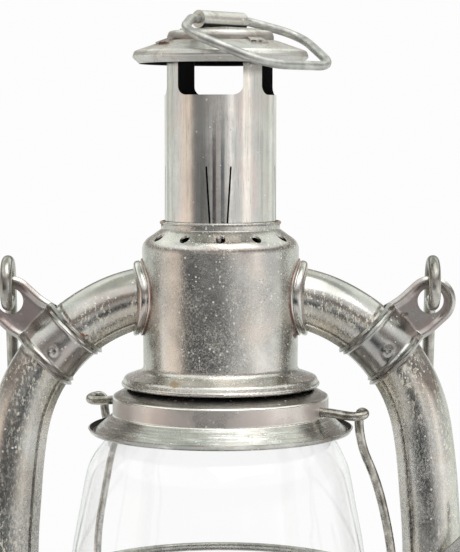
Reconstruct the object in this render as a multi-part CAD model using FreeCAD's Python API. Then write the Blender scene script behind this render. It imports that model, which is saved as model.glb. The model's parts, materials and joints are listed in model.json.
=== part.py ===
import FreeCAD, Part
import math
import os

# A tubular hurricane lantern of tinned sheet steel, in millimetres.
# The origin is on the lantern's axis, on the plane that it stands on. +Z is up.
# The side tubes lie in the XZ plane and -Y is the front.
# The globe carriage is modelled raised, with the globe cap under the skirt of the air chamber.

V = FreeCAD.Vector
UP = V(0, 0, 1)

# Sheet metal, wires and clearances
thin_sheet = 0.6
tank_sheet = 0.8
glass_wall = 1.8
running_gap = 0.05
moving_gap = 0.3
wire_radius = 1.5

# Tank and what stands on it
tank_radius = 68.0
tank_height = 46.0
tank_flat_border = 1.2
tank_shoulder_width = 12.0
tank_shoulder_drop = 1.4
tank_corner_drop = 1.5
foot_height = 4.0
foot_width = 8.0
tank_rib_radius = 1.1
low_rib_height = 6.0
high_rib_height = 30.0
collar_bore = 15.8
collar_wall = 1.2
collar_border = 4.0
collar_rise = 1.4

# Filler
filler_angle = -45.0
filler_offset = 0.5117
neck_radius = 11.0
neck_wall = 0.8
neck_flange = 2.5
neck_rise = 5.4
gasket_thickness = 1.6
cap_radius = 14.5
cap_skirt = 6.4
cap_flutes = 24

# Lower air drum, deck and guide
drum_radius = 32.8
drum_height = 20.5
guide_radius = 26.9
guide_height = 19.4
deck_holes = 24
deck_hole_radius = 1.1

# Burner
burner_skirt_border = 3.7
dome_border = 1.9
dome_height = 15.0
wick_width = 15.0
wick_thickness = 2.0
wick_show = 3.0
wick_bottom = 11.0
wick_play = 0.5
wick_tube_wall = 0.5
wick_tube_rise = 8.9
spindle_radius = 1.4
spindle_drop = 9.5
wheel_radius = 3.7
wheel_teeth = 12
wheel_pitch = 4.0
knob_radius = 7.0
knob_clearance = 13.2
knob_thickness = 3.0
bush_radius = 2.6

# Side tubes
tube_radius = 9.9
tube_wall = 0.6
tube_gap = 1.85
tube_entry_inset = 2.2
tube_entry_rise = 29.9
tube_mouth_inset = 1.2
upper_bend = 53.9
flank_bend = 349.0
flank_angle = 8.0
lower_bend = 30.0
tube_collar_height = 2.8
tube_collar_depth = 2.6
lower_collar_height = 1.0

# Bail bands, ears and bail
band_wall = 0.6
band_start = 35.5
band_end = 51.1
bead_wire = 0.75
bead_split = 0.72
ear_angle = 42.6
ear_stand = 12.0
ear_radius = 8.3
ear_base_width = 14.0
ear_thickness = 2.5
ear_web = 1.2
ear_rim = 2.1
ear_hole = 4.4
bail_wire_radius = 2.0
bail_eye_out = 0.676
bail_eye_rise = 5.966
bail_eye = 7.3
bail_leg = 90.0
bail_lean = 14.0
bail_eye_sweep = 294.0

# Air chamber
chamber_radius = 26.2
chamber_waist_inset = 0.4
chamber_gap = 3.4
chamber_height = 52.5
chamber_collar_gap = 0.63
chamber_collar_height = 2.1
skirt_width = 7.0
skirt_height = 5.3
skirt_bead = 0.8
vents = 12
vent_radius = 1.6
vent_inset = 3.0

# Globe carriage, at the top of its travel
lift_travel = 14.8
deck_clearance = 0.5
plate_rim = 42.6
plate_rim_height = 4.6
plate_seat_step = 3.2
plate_collar_height = 5.5
globe_height = 105.9
globe_foot_border = 4.3
globe_widest = 50.3
globe_neck_gap = 1.2
globe_widest_rise = 45.0
hoop_gap = 3.2
hoop_rise = 49.5
cap_cylinder = 36.2
cap_cylinder_height = 6.1
cap_cone_slope = 27.5
cap_neck_gap = 1.03
cap_neck_rise = 13.7
cap_skirt_width = 8.3
cap_skirt_drop = 5.9
cap_lip = 1.7
seat_gap = 0.1
seat_ring_drop = 0.2
seat_ring_width = 5.6
cross_wire_rise = 2.3
cross_wire_turn = 24.5
cross_wire_dip = 0.7
eye_reach = 47.7
eye_tilt = 10.0
right_eye_radius = 2.7
left_eye_radius = 3.1
eye_bend = 2.0
right_knee = (0.64, -10.2, 28.5)
left_knee = (3.3, 139.3, 41.5)
right_foot_angle = -7.0
left_foot_angle = 141.0
leg_foot_length = 12.0

# Chimney and hood
chimney_radius = 18.57
chimney_plunge = 9.0
window_height = 17.9
window_corner = 3.0
leg_angles = (35.0, 121.5, 220.0, 300.0)
leg_width = 23.4
tab_width = 16.0
tongue_centre = -2.0
tongue_drop = 23.5
tongue_length = 35.0
tongue_top_half = 12.4
tongue_foot_half = 5.6
slit_width = 0.6
foot_ring_border = 1.3
hood_rise = 60.1
hood_shoulder_gap = 0.43
hood_edge_fall = 0.7
hood_slope_drop = 3.4
hood_radius = 29.3
hood_rim_drop = 5.4
hood_curl_width = 2.3
hood_curl_drop = 2.1
hood_cap_gap = 0.27
hood_cap_height = 3.3

# Lift ring and its barrel
barrel_radius = 2.9
barrel_length = 22.0
barrel_rise = 3.6
barrel_turn = 49.0
barrel_web = 2.4
strap_setback = 2.0
strap_reach = 10.0
strap_thickness = 0.8
ring_droop = 24.3
ring_start = 3.5
ring_shoulder = 29.9
ring_shoulder_drop = 11.0
ring_shoulder_bend = 10.0
ring_foot = 16.8
ring_length = 37.8
ring_foot_bend = 14.0
ring_end_gap = 0.4

# Lift lever
clip_wall = 0.8
clip_width = 14.0
lever_thickness = 1.5
lever_boss = 6.5
lever_tip_inset = 1.3
lever_tip_radius = 2.0
lever_tip_gap = 0.5
rivet_radius = 2.0
rivet_head = 3.6
rivet_head_height = 1.2
lever_edge_angle = 43.3
lever_edge_offset = 15.2
lever_edge_start = 9.5
lever_edge_end = 41.0
lever_arm_width = 10.5

# Radii and places that follow from the sizes above
tank_flat_radius = drum_radius + tank_flat_border
tank_shoulder_radius = tank_radius - tank_shoulder_width
foot_inner_radius = tank_radius - foot_width
collar_outer = collar_bore + collar_wall
collar_flange = collar_outer + collar_border
filler_reach = (drum_radius + tank_radius) / 2 + filler_offset
burner_skirt_radius = collar_bore + burner_skirt_border
dome_radius = burner_skirt_radius + dome_border
knob_reach = drum_radius + knob_clearance
globe_foot = guide_radius + globe_foot_border
globe_neck = cap_cylinder - thin_sheet - globe_neck_gap
hoop_radius = globe_widest + wire_radius + hoop_gap
leg_reach = hoop_radius + 2 * wire_radius + running_gap
tube_spread = leg_reach + wire_radius + tube_gap + tube_radius
tube_entry_x = chamber_radius - tube_entry_inset
tube_entry_reach = chamber_radius - tube_mouth_inset
tube_collar_radius = tube_radius + tube_collar_height
lower_collar_radius = tube_radius + lower_collar_height
ear_reach = upper_bend + tube_radius + ear_stand
chamber_waist = chamber_radius - chamber_waist_inset
chamber_collar = chimney_radius + thin_sheet + chamber_collar_gap
skirt_radius = chamber_radius + skirt_width
vent_circle = chamber_radius - vent_inset
cap_neck = chimney_radius + thin_sheet + cap_neck_gap
cap_rim = cap_cylinder + cap_skirt_width
foot_ring_radius = cap_neck + foot_ring_border
hood_shoulder = chimney_radius + hood_shoulder_gap
hood_slope_end = hood_radius - hood_edge_fall
hood_inner_rim = hood_radius - hood_curl_width
hood_cap_radius = chimney_radius - thin_sheet - hood_cap_gap
strap_width = barrel_length - 2 * strap_setback
lever_reach = tube_spread - hoop_radius + lever_tip_inset
pivot_offset = clip_wall + tube_radius

# Heights that follow from the sizes above, from the tank up
deck_height = tank_height + drum_height
deck_top = deck_height + thin_sheet
spindle_height = deck_height - spindle_drop
wick_tube_top = deck_top + wick_tube_rise
wick_top = wick_tube_top + wick_show
tube_low = tank_height + drum_height / 2
plate_height = deck_top + deck_clearance + lift_travel
globe_bottom = plate_height + thin_sheet
globe_top = globe_bottom + globe_height
seat_ring_height = globe_top + seat_gap
cap_cylinder_bottom = seat_ring_height + seat_ring_drop
cap_cylinder_top = cap_cylinder_bottom + cap_cylinder_height
cap_rim_height = cap_cylinder_bottom - cap_skirt_drop
cap_neck_top = cap_cylinder_top + cap_neck_rise
cross_wire_height = cap_cylinder_bottom + cross_wire_rise
hoop_height = globe_bottom + hoop_rise
lever_tip_rise = lift_travel / 2
lever_pivot_height = hoop_height - wire_radius - lever_tip_gap - lever_tip_radius - lever_tip_rise
chamber_bottom = cap_cylinder_top + chamber_gap
chamber_shoulder = chamber_bottom + chamber_height
chamber_top = chamber_shoulder + chamber_collar_height
tube_entry_height = chamber_bottom + tube_entry_rise
chimney_bottom = cap_neck_top - chimney_plunge
hood_top = chamber_top + hood_rise
hood_rim_height = hood_top - hood_rim_drop
hood_bottom = hood_rim_height - hood_curl_drop
window_bottom = hood_top - window_height
tongue_top = window_bottom - tongue_drop
tongue_bottom = tongue_top - tongue_length
barrel_height = hood_top + hood_cap_height + barrel_rise


def line(start, end):
    return Part.LineSegment(start, end).toShape()


def arc(start, middle, end):
    return Part.Arc(start, middle, end).toShape()


def rounded_edges(points, rounds):
    """Straight edges through points, with an arc of its own radius at each inner corner."""
    edges = []
    start = points[0]
    for before, corner, after, radius in zip(points, points[1:], points[2:], rounds[1:]):
        inward = (corner - before).normalize()
        outward = (after - corner).normalize()
        turn = inward.getAngle(outward)
        if radius < 0.02 or turn < 0.001:
            edges.append(line(start, corner))
            start = corner
            continue
        reach = radius * math.tan(turn / 2)
        entry = corner - inward * reach
        leave = corner + outward * reach
        middle_way = ((entry + leave) * 0.5 - corner).normalize()
        depth = radius / math.cos(turn / 2) - radius
        if (entry - start).Length > 1e-6:
            edges.append(line(start, entry))
        edges.append(arc(entry, corner + middle_way * depth, leave))
        start = leave
    edges.append(line(start, points[-1]))
    return edges


def side_of(direction):
    return V(-direction.z, 0, direction.x)


def sheet_face(corners, wall, side):
    """Section of a bent sheet. Corners (radius, height, rounding) lie on its visible face.
    Side is 1 where the metal lies to the left of the way along the corners, or else -1."""
    points = [V(r, 0, z) for r, z, rounding in corners]
    rounds = [rounding for r, z, rounding in corners]
    ways = [(b - a).normalize() for a, b in zip(points, points[1:])]
    other_points = []
    other_rounds = []
    for i, point in enumerate(points):
        before = ways[max(i - 1, 0)]
        after = ways[min(i, len(ways) - 1)]
        normals = side_of(before) + side_of(after)
        scale = wall * side / (1 + side_of(before).dot(side_of(after)))
        other = point + normals * scale
        if point.x < 1e-9:
            way = before if i > 0 else after
            other = other - way * (other.x / way.x)
        other_points.append(other)
        bends_left = before.x * after.z - before.z * after.x > 0
        change = -wall * side if bends_left else wall * side
        other_rounds.append(max(rounds[i] + change, 0) if rounds[i] > 0 else 0)
    face_edges = rounded_edges(points, rounds)
    back_edges = rounded_edges(other_points, other_rounds)
    ends = [line(points[-1], other_points[-1]), line(other_points[0], points[0])]
    return Part.Face(Part.Wire(Part.__sortEdges__(face_edges + back_edges + ends)))


def turned_sheet(corners, wall, side):
    return sheet_face(corners, wall, side).revolve(V(), UP, 360)


def outline_face(corners):
    """Face inside a closed outline. Corners are (across, height, rounding) in the XZ plane."""
    points = [V(x, 0, z) for x, z, rounding in corners]
    start = (points[-1] + points[0]) * 0.5
    loop = [start] + points + [start]
    rounds = [0] + [rounding for x, z, rounding in corners] + [0]
    return Part.Face(Part.Wire(rounded_edges(loop, rounds)))


def turned(corners, angle=360):
    return outline_face(corners).revolve(V(), UP, angle)


def rod(start, end, radius):
    return Part.makeCylinder(radius, (end - start).Length, start, end - start)


def ring(inner, outer, bottom, top, centre=V()):
    base = V(centre.x, centre.y, bottom)
    tall = V(0, 0, top - bottom)
    return rod(base, base + tall, outer).cut(rod(base - tall, base + tall * 2, inner))


def block(x_size, y_size, bottom, top, centre=V()):
    corner = V(centre.x - x_size / 2, centre.y - y_size / 2, bottom)
    return Part.makeBox(x_size, y_size, top - bottom, corner)


def polar(radius, angle, height):
    """Point at an angle from the front, counted towards +X."""
    turn = math.radians(angle)
    return V(radius * math.sin(turn), -radius * math.cos(turn), height)


def copies_round(shape, count, start=0.0):
    found = []
    for i in range(count):
        copy = shape.copy()
        copy.rotate(V(), UP, start + 360.0 * i / count)
        found.append(copy)
    return Part.makeCompound(found)


def mirrored(shape):
    return shape.mirror(V(), V(1, 0, 0))


def swept(edges, radius):
    """Round bar along edges that run smoothly from one to the next."""
    first = edges[0]
    start = first.valueAt(first.FirstParameter)
    circle = Part.makeCircle(radius, start, first.tangentAt(first.FirstParameter))
    faces = [Part.Face(Part.Wire([circle]))]
    for edge in edges:
        if isinstance(edge.Curve, Part.Circle):
            centre = edge.Curve.Center
            axis = edge.Curve.Axis
            sweep = math.degrees(edge.LastParameter - edge.FirstParameter)
            faces.append(circle.revolve(centre, axis, sweep))
            circle = circle.copy()
            circle.rotate(centre, axis, sweep)
        else:
            move = edge.valueAt(edge.LastParameter) - edge.valueAt(edge.FirstParameter)
            faces.append(circle.extrude(move))
            circle = circle.copy()
            circle.translate(move)
    faces.append(Part.Face(Part.Wire([circle])))
    shell = Part.Shell(faces)
    shell.sewShape()
    solid = Part.Solid(shell)
    if solid.Volume < 0:
        solid.reverse()
    return solid


def arc_from(start, way, end):
    """Arc that leaves start along way and ends at end, or a line where they are in line."""
    chord = end - start
    along = chord.normalize() if chord.Length > 0 else way
    chord = end - start
    turn = way.getAngle(along)
    if turn < 1e-4:
        return line(start, end)
    sideways = (way - along * way.dot(along)).normalize()
    middle = (start + end) * 0.5 + sideways * (chord.Length / 2 * math.tan(turn / 2))
    return arc(start, middle, end)


def smooth_edges(stations):
    """Pairs of arcs through stations, each a point with the way the line runs there."""
    edges = []
    for (start, way), (end, next_way) in zip(stations, stations[1:]):
        chord = end - start
        ways = way + next_way
        spread = 2 * (1 - way.dot(next_way))
        if spread < 1e-9:
            reach = chord.dot(chord) / (2 * chord.dot(ways))
        else:
            pull = chord.dot(ways)
            reach = (math.sqrt(pull * pull + spread * chord.dot(chord)) - pull) / spread
        joint = (start + end + (way - next_way) * reach) * 0.5
        joint_way = ((end - next_way * reach) - (start + way * reach)).normalize()
        edges.append(arc_from(start, way, joint))
        edges.append(arc_from(joint, joint_way, end))
    return edges


def tank_base():
    inner = tank_radius - tank_sheet
    corners = [(0, foot_height, 0), (foot_inner_radius - 3, foot_height, 3), (foot_inner_radius, 0, 1.0)]
    corners += [(inner, 0, 1.6), (inner, 2.4 * foot_height, 0)]
    return turned_sheet(corners, tank_sheet, 1)


def tank_outline():
    shoulder = tank_height - tank_shoulder_drop
    corners = [(tank_radius, tank_sheet, 0), (tank_radius, shoulder - tank_corner_drop, 9)]
    corners += [(tank_shoulder_radius, shoulder, 20), (tank_flat_radius, tank_height, 0)]
    corners += [(collar_outer, tank_height, 0)]
    return corners


def filler_centre(height):
    return polar(filler_reach, filler_angle, height)


def tank_shell():
    shell = turned_sheet(tank_outline(), tank_sheet, 1)
    for height in (low_rib_height, high_rib_height):
        rib = Part.makeTorus(tank_radius, tank_rib_radius, V(0, 0, height))
        shell = shell.fuse(rib.common(ring(tank_radius - tank_sheet / 2, tank_radius + 3, 0, tank_height)))
    hole = rod(filler_centre(0), filler_centre(2 * tank_height), neck_radius)
    lower = block(3 * tank_radius, 3 * tank_radius, 0, tank_height / 2)
    return shell.cut(hole.cut(lower))


def filled_tank():
    return turned([(0, 0, 0)] + tank_outline() + [(0, tank_height, 0)])


def filler_neck():
    top = tank_height + neck_rise
    tube = ring(neck_radius - neck_wall, neck_radius, tank_height - 5, top, filler_centre(0))
    flange = ring(neck_radius, neck_radius + neck_flange, tank_height - 3, tank_height + 0.4, filler_centre(0))
    return tube.fuse(flange.cut(filled_tank()))


def filler_gasket():
    bottom = tank_height + neck_rise + running_gap
    top = bottom + gasket_thickness
    return ring(neck_radius - 3, neck_radius + 0.8, bottom, top, filler_centre(0))


def filler_cap():
    inside = tank_height + neck_rise + running_gap + gasket_thickness + running_gap
    top = inside + 1.2
    lid_radius = cap_radius - 2.0
    step = inside - gasket_thickness - moving_gap
    corners = [(0, inside, 0), (neck_radius + 1.1, inside, 0), (neck_radius + 1.1, step, 0)]
    corners += [(neck_radius + moving_gap, step, 0)]
    corners += [(neck_radius + moving_gap, top - cap_skirt, 0), (cap_radius, top - cap_skirt, 0.6)]
    corners += [(cap_radius, top - 0.9, 0.8), (lid_radius, top - 0.9, 0.3), (lid_radius - 0.8, top, 0.6)]
    corners += [(0, top, 0)]
    cap = turned(corners)
    flute = rod(V(cap_radius + 0.35, 0, 0), V(cap_radius + 0.35, 0, top - 1.4), 0.8)
    cap = cap.cut(copies_round(flute, cap_flutes))
    cap.translate(filler_centre(0))
    return cap


def burner_collar():
    top = tank_height + collar_rise
    corners = [(collar_bore, tank_height - 6, 0), (collar_outer, tank_height - 6, 0)]
    corners += [(collar_outer, tank_height, 0), (collar_flange, tank_height, 0), (collar_flange, top, 0.5)]
    corners += [(collar_bore, top, 0)]
    return turned(corners)


def spindle_line(near, far):
    """Two points of the winder's axis, by how far they are to the front."""
    beside = wick_thickness / 2 + moving_gap + wheel_radius
    return V(beside, -near, spindle_height), V(beside, -far, spindle_height)


def air_drum():
    corners = [(collar_flange + 3, tank_height, 0), (drum_radius, tank_height, 1.0)]
    corners += [(drum_radius, deck_height, 1.0), (drum_radius - 4, deck_height, 0)]
    drum = turned_sheet(corners, thin_sheet, 1)
    for tube in (side_tube_solid(), mirrored(side_tube_solid())):
        drum = drum.cut(tube)
    near, far = spindle_line(drum_radius - 4, drum_radius + 4)
    return drum.cut(rod(near, far, bush_radius))


def burner_deck():
    disc = ring(burner_skirt_radius, drum_radius - 0.6, deck_height, deck_top)
    place = V(guide_radius - 2.0, 0, 0)
    hole = rod(place + V(0, 0, deck_height - 1), place + V(0, 0, deck_top + 1), deck_hole_radius)
    return disc.cut(copies_round(hole, deck_holes))


def globe_guide():
    return ring(guide_radius - 0.5, guide_radius, deck_top, deck_top + guide_height)


def wick_tube_sizes():
    return wick_thickness + 2 * wick_play, wick_width + 2 * wick_play


def burner_base():
    seat = tank_height + collar_rise
    plate_top = seat + 2 * thin_sheet
    nose = ring(collar_bore - 0.8, collar_bore, tank_height - 8, plate_top)
    flange = ring(collar_bore - 0.8, collar_flange - 0.5, seat, plate_top)
    plate = rod(V(0, 0, plate_top), V(0, 0, plate_top + thin_sheet), burner_skirt_radius)
    skirt = ring(burner_skirt_radius - thin_sheet, burner_skirt_radius, plate_top, deck_top)
    body = nose.fuse([flange, plate, skirt])
    thick, wide = wick_tube_sizes()
    passage = block(thick + 2 * wick_tube_wall, wide + 2 * wick_tube_wall, seat, deck_top)
    near, far = spindle_line(0, drum_radius)
    hole = rod(V(burner_skirt_radius - 2, 0, 0), V(burner_skirt_radius + 2, 0, 0), 1.5)
    hole.translate(V(0, 0, deck_height - 5))
    body = body.cut(copies_round(hole, 16, 11.25))
    return body.cut(passage).cut(rod(near, far, spindle_radius + moving_gap + 0.2))


def wick_tube():
    thick, wide = wick_tube_sizes()
    bottom = tank_height - 4
    tube = block(thick + 2 * wick_tube_wall, wide + 2 * wick_tube_wall, bottom, wick_tube_top)
    tube = tube.cut(block(thick, wide, bottom - 1, wick_tube_top + 1))
    reach = wheel_radius + moving_gap + 0.2
    for place in (-wheel_pitch, 0, wheel_pitch):
        slot = block(thick, 1.0 + 2 * moving_gap, spindle_height - reach, spindle_height + reach)
        slot.translate(V(thick, place, 0))
        tube = tube.cut(slot)
    return tube


def burner_dome():
    top = deck_top + dome_height
    corners = [(guide_radius - 4.0, deck_top + thin_sheet, 0), (dome_radius, deck_top + thin_sheet, 0.8)]
    corners += [(dome_radius - 0.6, deck_top + 5.5, 5), (dome_radius - 8, top - 2, 9), (0, top, 0)]
    dome = turned_sheet(corners, thin_sheet, 1)
    thick, wide = wick_tube_sizes()
    return dome.cut(block(thick + 3.5, wide + 3, top - 8, top + 2))


def winder_bush():
    near, far = spindle_line(drum_radius - 3, drum_radius + 2.4)
    seat, shoulder = spindle_line(drum_radius + 0.3, drum_radius + 1.5)
    drum_solid = rod(V(), V(0, 0, deck_height), drum_radius)
    flange = rod(seat - V(0, -1.5, 0), shoulder, bush_radius + 1.6).cut(drum_solid)
    return rod(near, far, bush_radius).fuse(flange).cut(rod(near + V(0, 5, 0), far - V(0, 5, 0), spindle_bore()))


def spindle_bore():
    return spindle_radius + running_gap


def winder_spindle():
    near, far = spindle_line(-7.0, knob_reach + knob_thickness)
    return rod(near, far, spindle_radius)


def spur_wheels():
    wheels = []
    for place in (-wheel_pitch, 0, wheel_pitch):
        near, far = spindle_line(place - 0.5, place + 0.5)
        wheel = rod(near, far, wheel_radius)
        notches = []
        for i in range(wheel_teeth):
            turn = 2 * math.pi * i / wheel_teeth
            offset = V(math.cos(turn), 0, math.sin(turn)) * (wheel_radius + 0.15)
            notches.append(rod(near + offset + V(0, 1, 0), far + offset - V(0, 1, 0), 0.65))
        wheel = wheel.cut(Part.makeCompound(notches))
        wheels.append(wheel.cut(rod(near + V(0, 1, 0), far - V(0, 1, 0), spindle_radius)))
    return Part.makeCompound(wheels)


def winder_knob():
    near, far = spindle_line(knob_reach, knob_reach + knob_thickness)
    hub_start = spindle_line(knob_reach - 3.5, 0)[0]
    knob = rod(near, far, knob_radius)
    scallops = []
    for i in range(16):
        turn = 2 * math.pi * i / 16
        offset = V(math.cos(turn), 0, math.sin(turn)) * (knob_radius + 0.5)
        scallops.append(rod(near + offset + V(0, 1, 0), far + offset - V(0, 1, 0), 1.0))
    knob = knob.cut(Part.makeCompound(scallops))
    dish = rod(far + V(0, 1.0, 0), far - V(0, 1, 0), knob_radius - 2.0)
    boss = rod(far + V(0, 1.0, 0), far - V(0, 0.4, 0), spindle_radius + 1.4)
    knob = knob.cut(dish).fuse([boss, rod(hub_start, near, spindle_radius + 1.2)])
    return knob.cut(rod(hub_start + V(0, 1, 0), far - V(0, 1, 0), spindle_radius))


def wick():
    return block(wick_thickness, wick_width, wick_bottom, wick_top)


def upper_bend_centre():
    lean = math.radians(flank_angle)
    across = tube_spread - flank_bend * (1 - math.cos(lean)) - upper_bend * math.cos(lean)
    rise = math.sqrt(upper_bend ** 2 - (tube_entry_reach - across) ** 2)
    return V(across, 0, tube_entry_height - rise)


def bend_point(angle, radius=upper_bend):
    """Point of the upper bend's plane, by its angle above level and its distance from the centre."""
    turn = math.radians(angle)
    return upper_bend_centre() + V(math.cos(turn), 0, math.sin(turn)) * radius


def side_tube_line():
    centre = upper_bend_centre()
    entry_angle = math.degrees(math.acos((tube_entry_x - centre.x) / upper_bend))
    entry = bend_point(entry_angle)
    shoulder = bend_point(flank_angle)
    lean = math.radians(flank_angle)
    flank_centre = shoulder - V(math.cos(lean), 0, math.sin(lean)) * flank_bend
    half = lean / 2
    flank_middle = flank_centre + V(math.cos(half), 0, math.sin(half)) * flank_bend
    flank_end = flank_centre + V(flank_bend, 0, 0)
    bend_start = V(tube_spread, 0, tube_low + lower_bend)
    corner = V(tube_spread, 0, tube_low)
    bend_end = corner - V(lower_bend, 0, 0)
    diagonal = lower_bend * (1 - math.sqrt(0.5))
    bend_middle = corner + V(-diagonal, 0, diagonal)
    drum_end = V(drum_radius - 1.6, 0, tube_low)
    edges = [arc(entry, bend_point((entry_angle + flank_angle) / 2), shoulder)]
    edges += [arc(shoulder, flank_middle, flank_end), line(flank_end, bend_start)]
    edges += [arc(bend_start, bend_middle, bend_end), line(bend_end, drum_end)]
    return edges


def side_tube_solid():
    return swept(side_tube_line(), tube_radius)


def right_tube():
    return side_tube_solid().cut(swept(side_tube_line(), tube_radius - tube_wall))


def tube_collar(start, way, wall_radius, radius):
    """Pressed ring round a side tube where it meets a drum, shaped to the drum's wall."""
    rounding = min(1.0, (radius - tube_radius) / 2)
    corners = [(tube_radius - 2, -3, 0), (radius, -3, 0), (radius, tube_collar_depth, rounding)]
    corners += [(tube_radius - 2, tube_collar_depth, 0)]
    solid = turned(corners)
    solid.rotate(V(), V(0, 1, 0), math.degrees(math.atan2(way.x, way.z)))
    solid.translate(start)
    reach = UP * (3 * radius)
    base = V(0, 0, start.z)
    wall = rod(base - reach, base + reach, wall_radius)
    return solid.cut(wall).cut(side_tube_solid())


def right_upper_collar():
    centre = upper_bend_centre()
    angle = math.degrees(math.acos((chamber_radius - centre.x) / upper_bend))
    start = bend_point(angle)
    radial = (start - centre).normalize()
    return tube_collar(start, V(radial.z, 0, -radial.x), chamber_radius, tube_collar_radius)


def right_lower_collar():
    collar = tube_collar(V(drum_radius, 0, tube_low), V(1, 0, 0), drum_radius, lower_collar_radius)
    return collar.cut(filled_tank())


def bend_ring(inner, outer, start, end):
    """Sleeve round the side tube, between two angles of its upper bend."""
    centre = upper_bend_centre()
    middle = bend_point(start)
    way = V(-math.sin(math.radians(start)), 0, math.cos(math.radians(start)))
    edges = [Part.makeCircle(outer, middle, way), Part.makeCircle(inner, middle, way)]
    face = Part.Face(Part.Wire([edges[0]])).cut(Part.Face(Part.Wire([edges[1]])))
    return face.revolve(centre, V(0, -1, 0), end - start)


def ear_outline(inset, hole_gap):
    """Outline of the ear, drawn along X from the bend's centre, drawn in by an inset."""
    start = upper_bend + tube_radius + band_wall - 0.4 + hole_gap
    half = ear_base_width / 2 - inset
    radius = ear_radius - inset
    lean = math.asin((ear_radius - ear_base_width / 2) / (ear_reach - start))
    top = V(ear_reach - radius * math.sin(lean), 0, radius * math.cos(lean))
    low = V(top.x, 0, -top.z)
    base_top = V(start, 0, half)
    base_low = V(start, 0, -half)
    end = V(ear_reach + radius, 0, 0)
    return [line(base_low, low), arc(low, end, top), line(top, base_top), line(base_top, base_low)]


def right_bail_band():
    outer = tube_radius + band_wall
    band = bend_ring(tube_radius, outer, band_start, band_end)
    step = math.degrees(bead_split / upper_bend)
    beads = []
    for place in (band_start, band_end):
        for shift in (-step, step):
            turn = math.radians(place + shift)
            way = V(-math.sin(turn), 0, math.cos(turn))
            beads.append(Part.makeTorus(outer + bead_wire / 2, bead_wire, bend_point(place + shift), way))
    inside = swept(side_tube_line(), tube_radius)
    ear = Part.Face(Part.Wire(ear_outline(0, 0))).extrude(V(0, ear_thickness, 0))
    ear.translate(V(0, -ear_thickness / 2, 0))
    recess_depth = (ear_thickness - ear_web) / 2
    recess = Part.Face(Part.Wire(ear_outline(ear_rim, 1.2))).extrude(V(0, recess_depth, 0))
    rim = rod(V(ear_reach, -9, 0), V(ear_reach, 9, 0), ear_hole + ear_rim - 0.4)
    recess = recess.cut(rim)
    for place in (-ear_thickness / 2, ear_thickness / 2 - recess_depth):
        cutter = recess.copy()
        cutter.translate(V(0, place, 0))
        ear = ear.cut(cutter)
    ear = ear.cut(rod(V(ear_reach, -9, 0), V(ear_reach, 9, 0), ear_hole))
    ear.rotate(V(), V(0, 1, 0), -ear_angle)
    ear.translate(upper_bend_centre())
    return band.fuse(beads + [ear]).cut(inside)


def bail():
    pivot = bend_point(ear_angle, ear_reach)
    bail_spread = pivot.x + bail_eye_out

    def place(across, back, down):
        return V(across, back, -down)

    edges = []
    sweep = math.radians(bail_eye_sweep)

    def eye_point(side, turn):
        return place(side * bail_spread, bail_eye * math.cos(turn), -bail_eye * math.sin(turn))

    edges.append(arc(eye_point(1, sweep), eye_point(1, sweep / 2), eye_point(1, 0)))
    edges.append(line(eye_point(1, 0), place(bail_spread, bail_eye, bail_leg)))
    apex = place(0, bail_eye, bail_leg + bail_spread)
    edges.append(arc(place(bail_spread, bail_eye, bail_leg), apex, place(-bail_spread, bail_eye, bail_leg)))
    edges.append(line(place(-bail_spread, bail_eye, bail_leg), eye_point(-1, 0)))
    edges.append(arc(eye_point(-1, 0), eye_point(-1, sweep / 2), eye_point(-1, sweep)))
    handle = swept(edges, bail_wire_radius)
    handle.rotate(V(), V(1, 0, 0), bail_lean)
    handle.translate(V(0, 0, pivot.z + bail_eye_rise))
    return handle


def air_chamber():
    skirt_top = chamber_bottom + skirt_height
    rim = chamber_bottom + skirt_bead
    corners = [(chamber_collar, chamber_top, 0), (chamber_collar, chamber_shoulder, 0.4)]
    corners += [(chamber_radius, chamber_shoulder - 4.6, 4.5), (chamber_waist, skirt_top, 2.4)]
    corners += [(skirt_radius - 1.0, skirt_top - 2.2, 1.6), (skirt_radius - 0.2, rim, 0)]
    chamber = turned_sheet(corners, thin_sheet, -1)
    bead = Part.makeTorus(skirt_radius - skirt_bead, skirt_bead, V(0, 0, rim))
    lip = Part.makeTorus(chamber_collar - 0.1, 0.55, V(0, 0, chamber_top))
    inside = rod(V(0, 0, chamber_bottom), V(0, 0, chamber_top + 5), chamber_collar - thin_sheet)
    chamber = chamber.fuse([bead, lip.cut(inside)])
    hole = rod(V(0, -vent_circle, chamber_shoulder - 12), V(0, -vent_circle, chamber_top + 5), vent_radius)
    chamber = chamber.cut(copies_round(hole, vents))
    for tube in (side_tube_solid(), mirrored(side_tube_solid())):
        chamber = chamber.cut(tube)
    return chamber


def globe_plate():
    collar = guide_radius + moving_gap + thin_sheet
    seat = globe_bottom
    cup = globe_foot + 2.0
    step = seat + plate_seat_step
    corners = [(collar, seat + plate_collar_height, 0), (collar, seat, 0.7), (cup, seat, 0.5), (cup, step, 1.0)]
    corners += [(cup + 3.4, step, 1.5), (plate_rim - 1.6, seat + 0.4, 1.0)]
    corners += [(plate_rim, seat + 0.4, 0.8), (plate_rim, seat + plate_rim_height - thin_sheet, 0)]
    return turned_sheet(corners, thin_sheet, -1)


def globe_outline():
    """Outer line of the glass, as (radius, height), from the foot to the neck."""
    foot = [(globe_foot, 0), (globe_foot + 0.6, 4.0), (globe_widest - 11.7, 13.0), (globe_widest - 3.9, 26.5)]
    foot.append((globe_widest, globe_widest_rise))
    neck = [(globe_widest - 1.4, 44.9), (globe_widest - 4.0, 30.2), (globe_widest - 6.0, 19.4)]
    neck += [(globe_widest - 8.0, 14.2), (globe_widest - 11.0, 9.6), (globe_neck + 1.6, 6.1)]
    neck += [(globe_neck, 2.6), (globe_neck, 0)]
    return [(r, globe_bottom + rise) for r, rise in foot] + [(r, globe_top - drop) for r, drop in neck]


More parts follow.
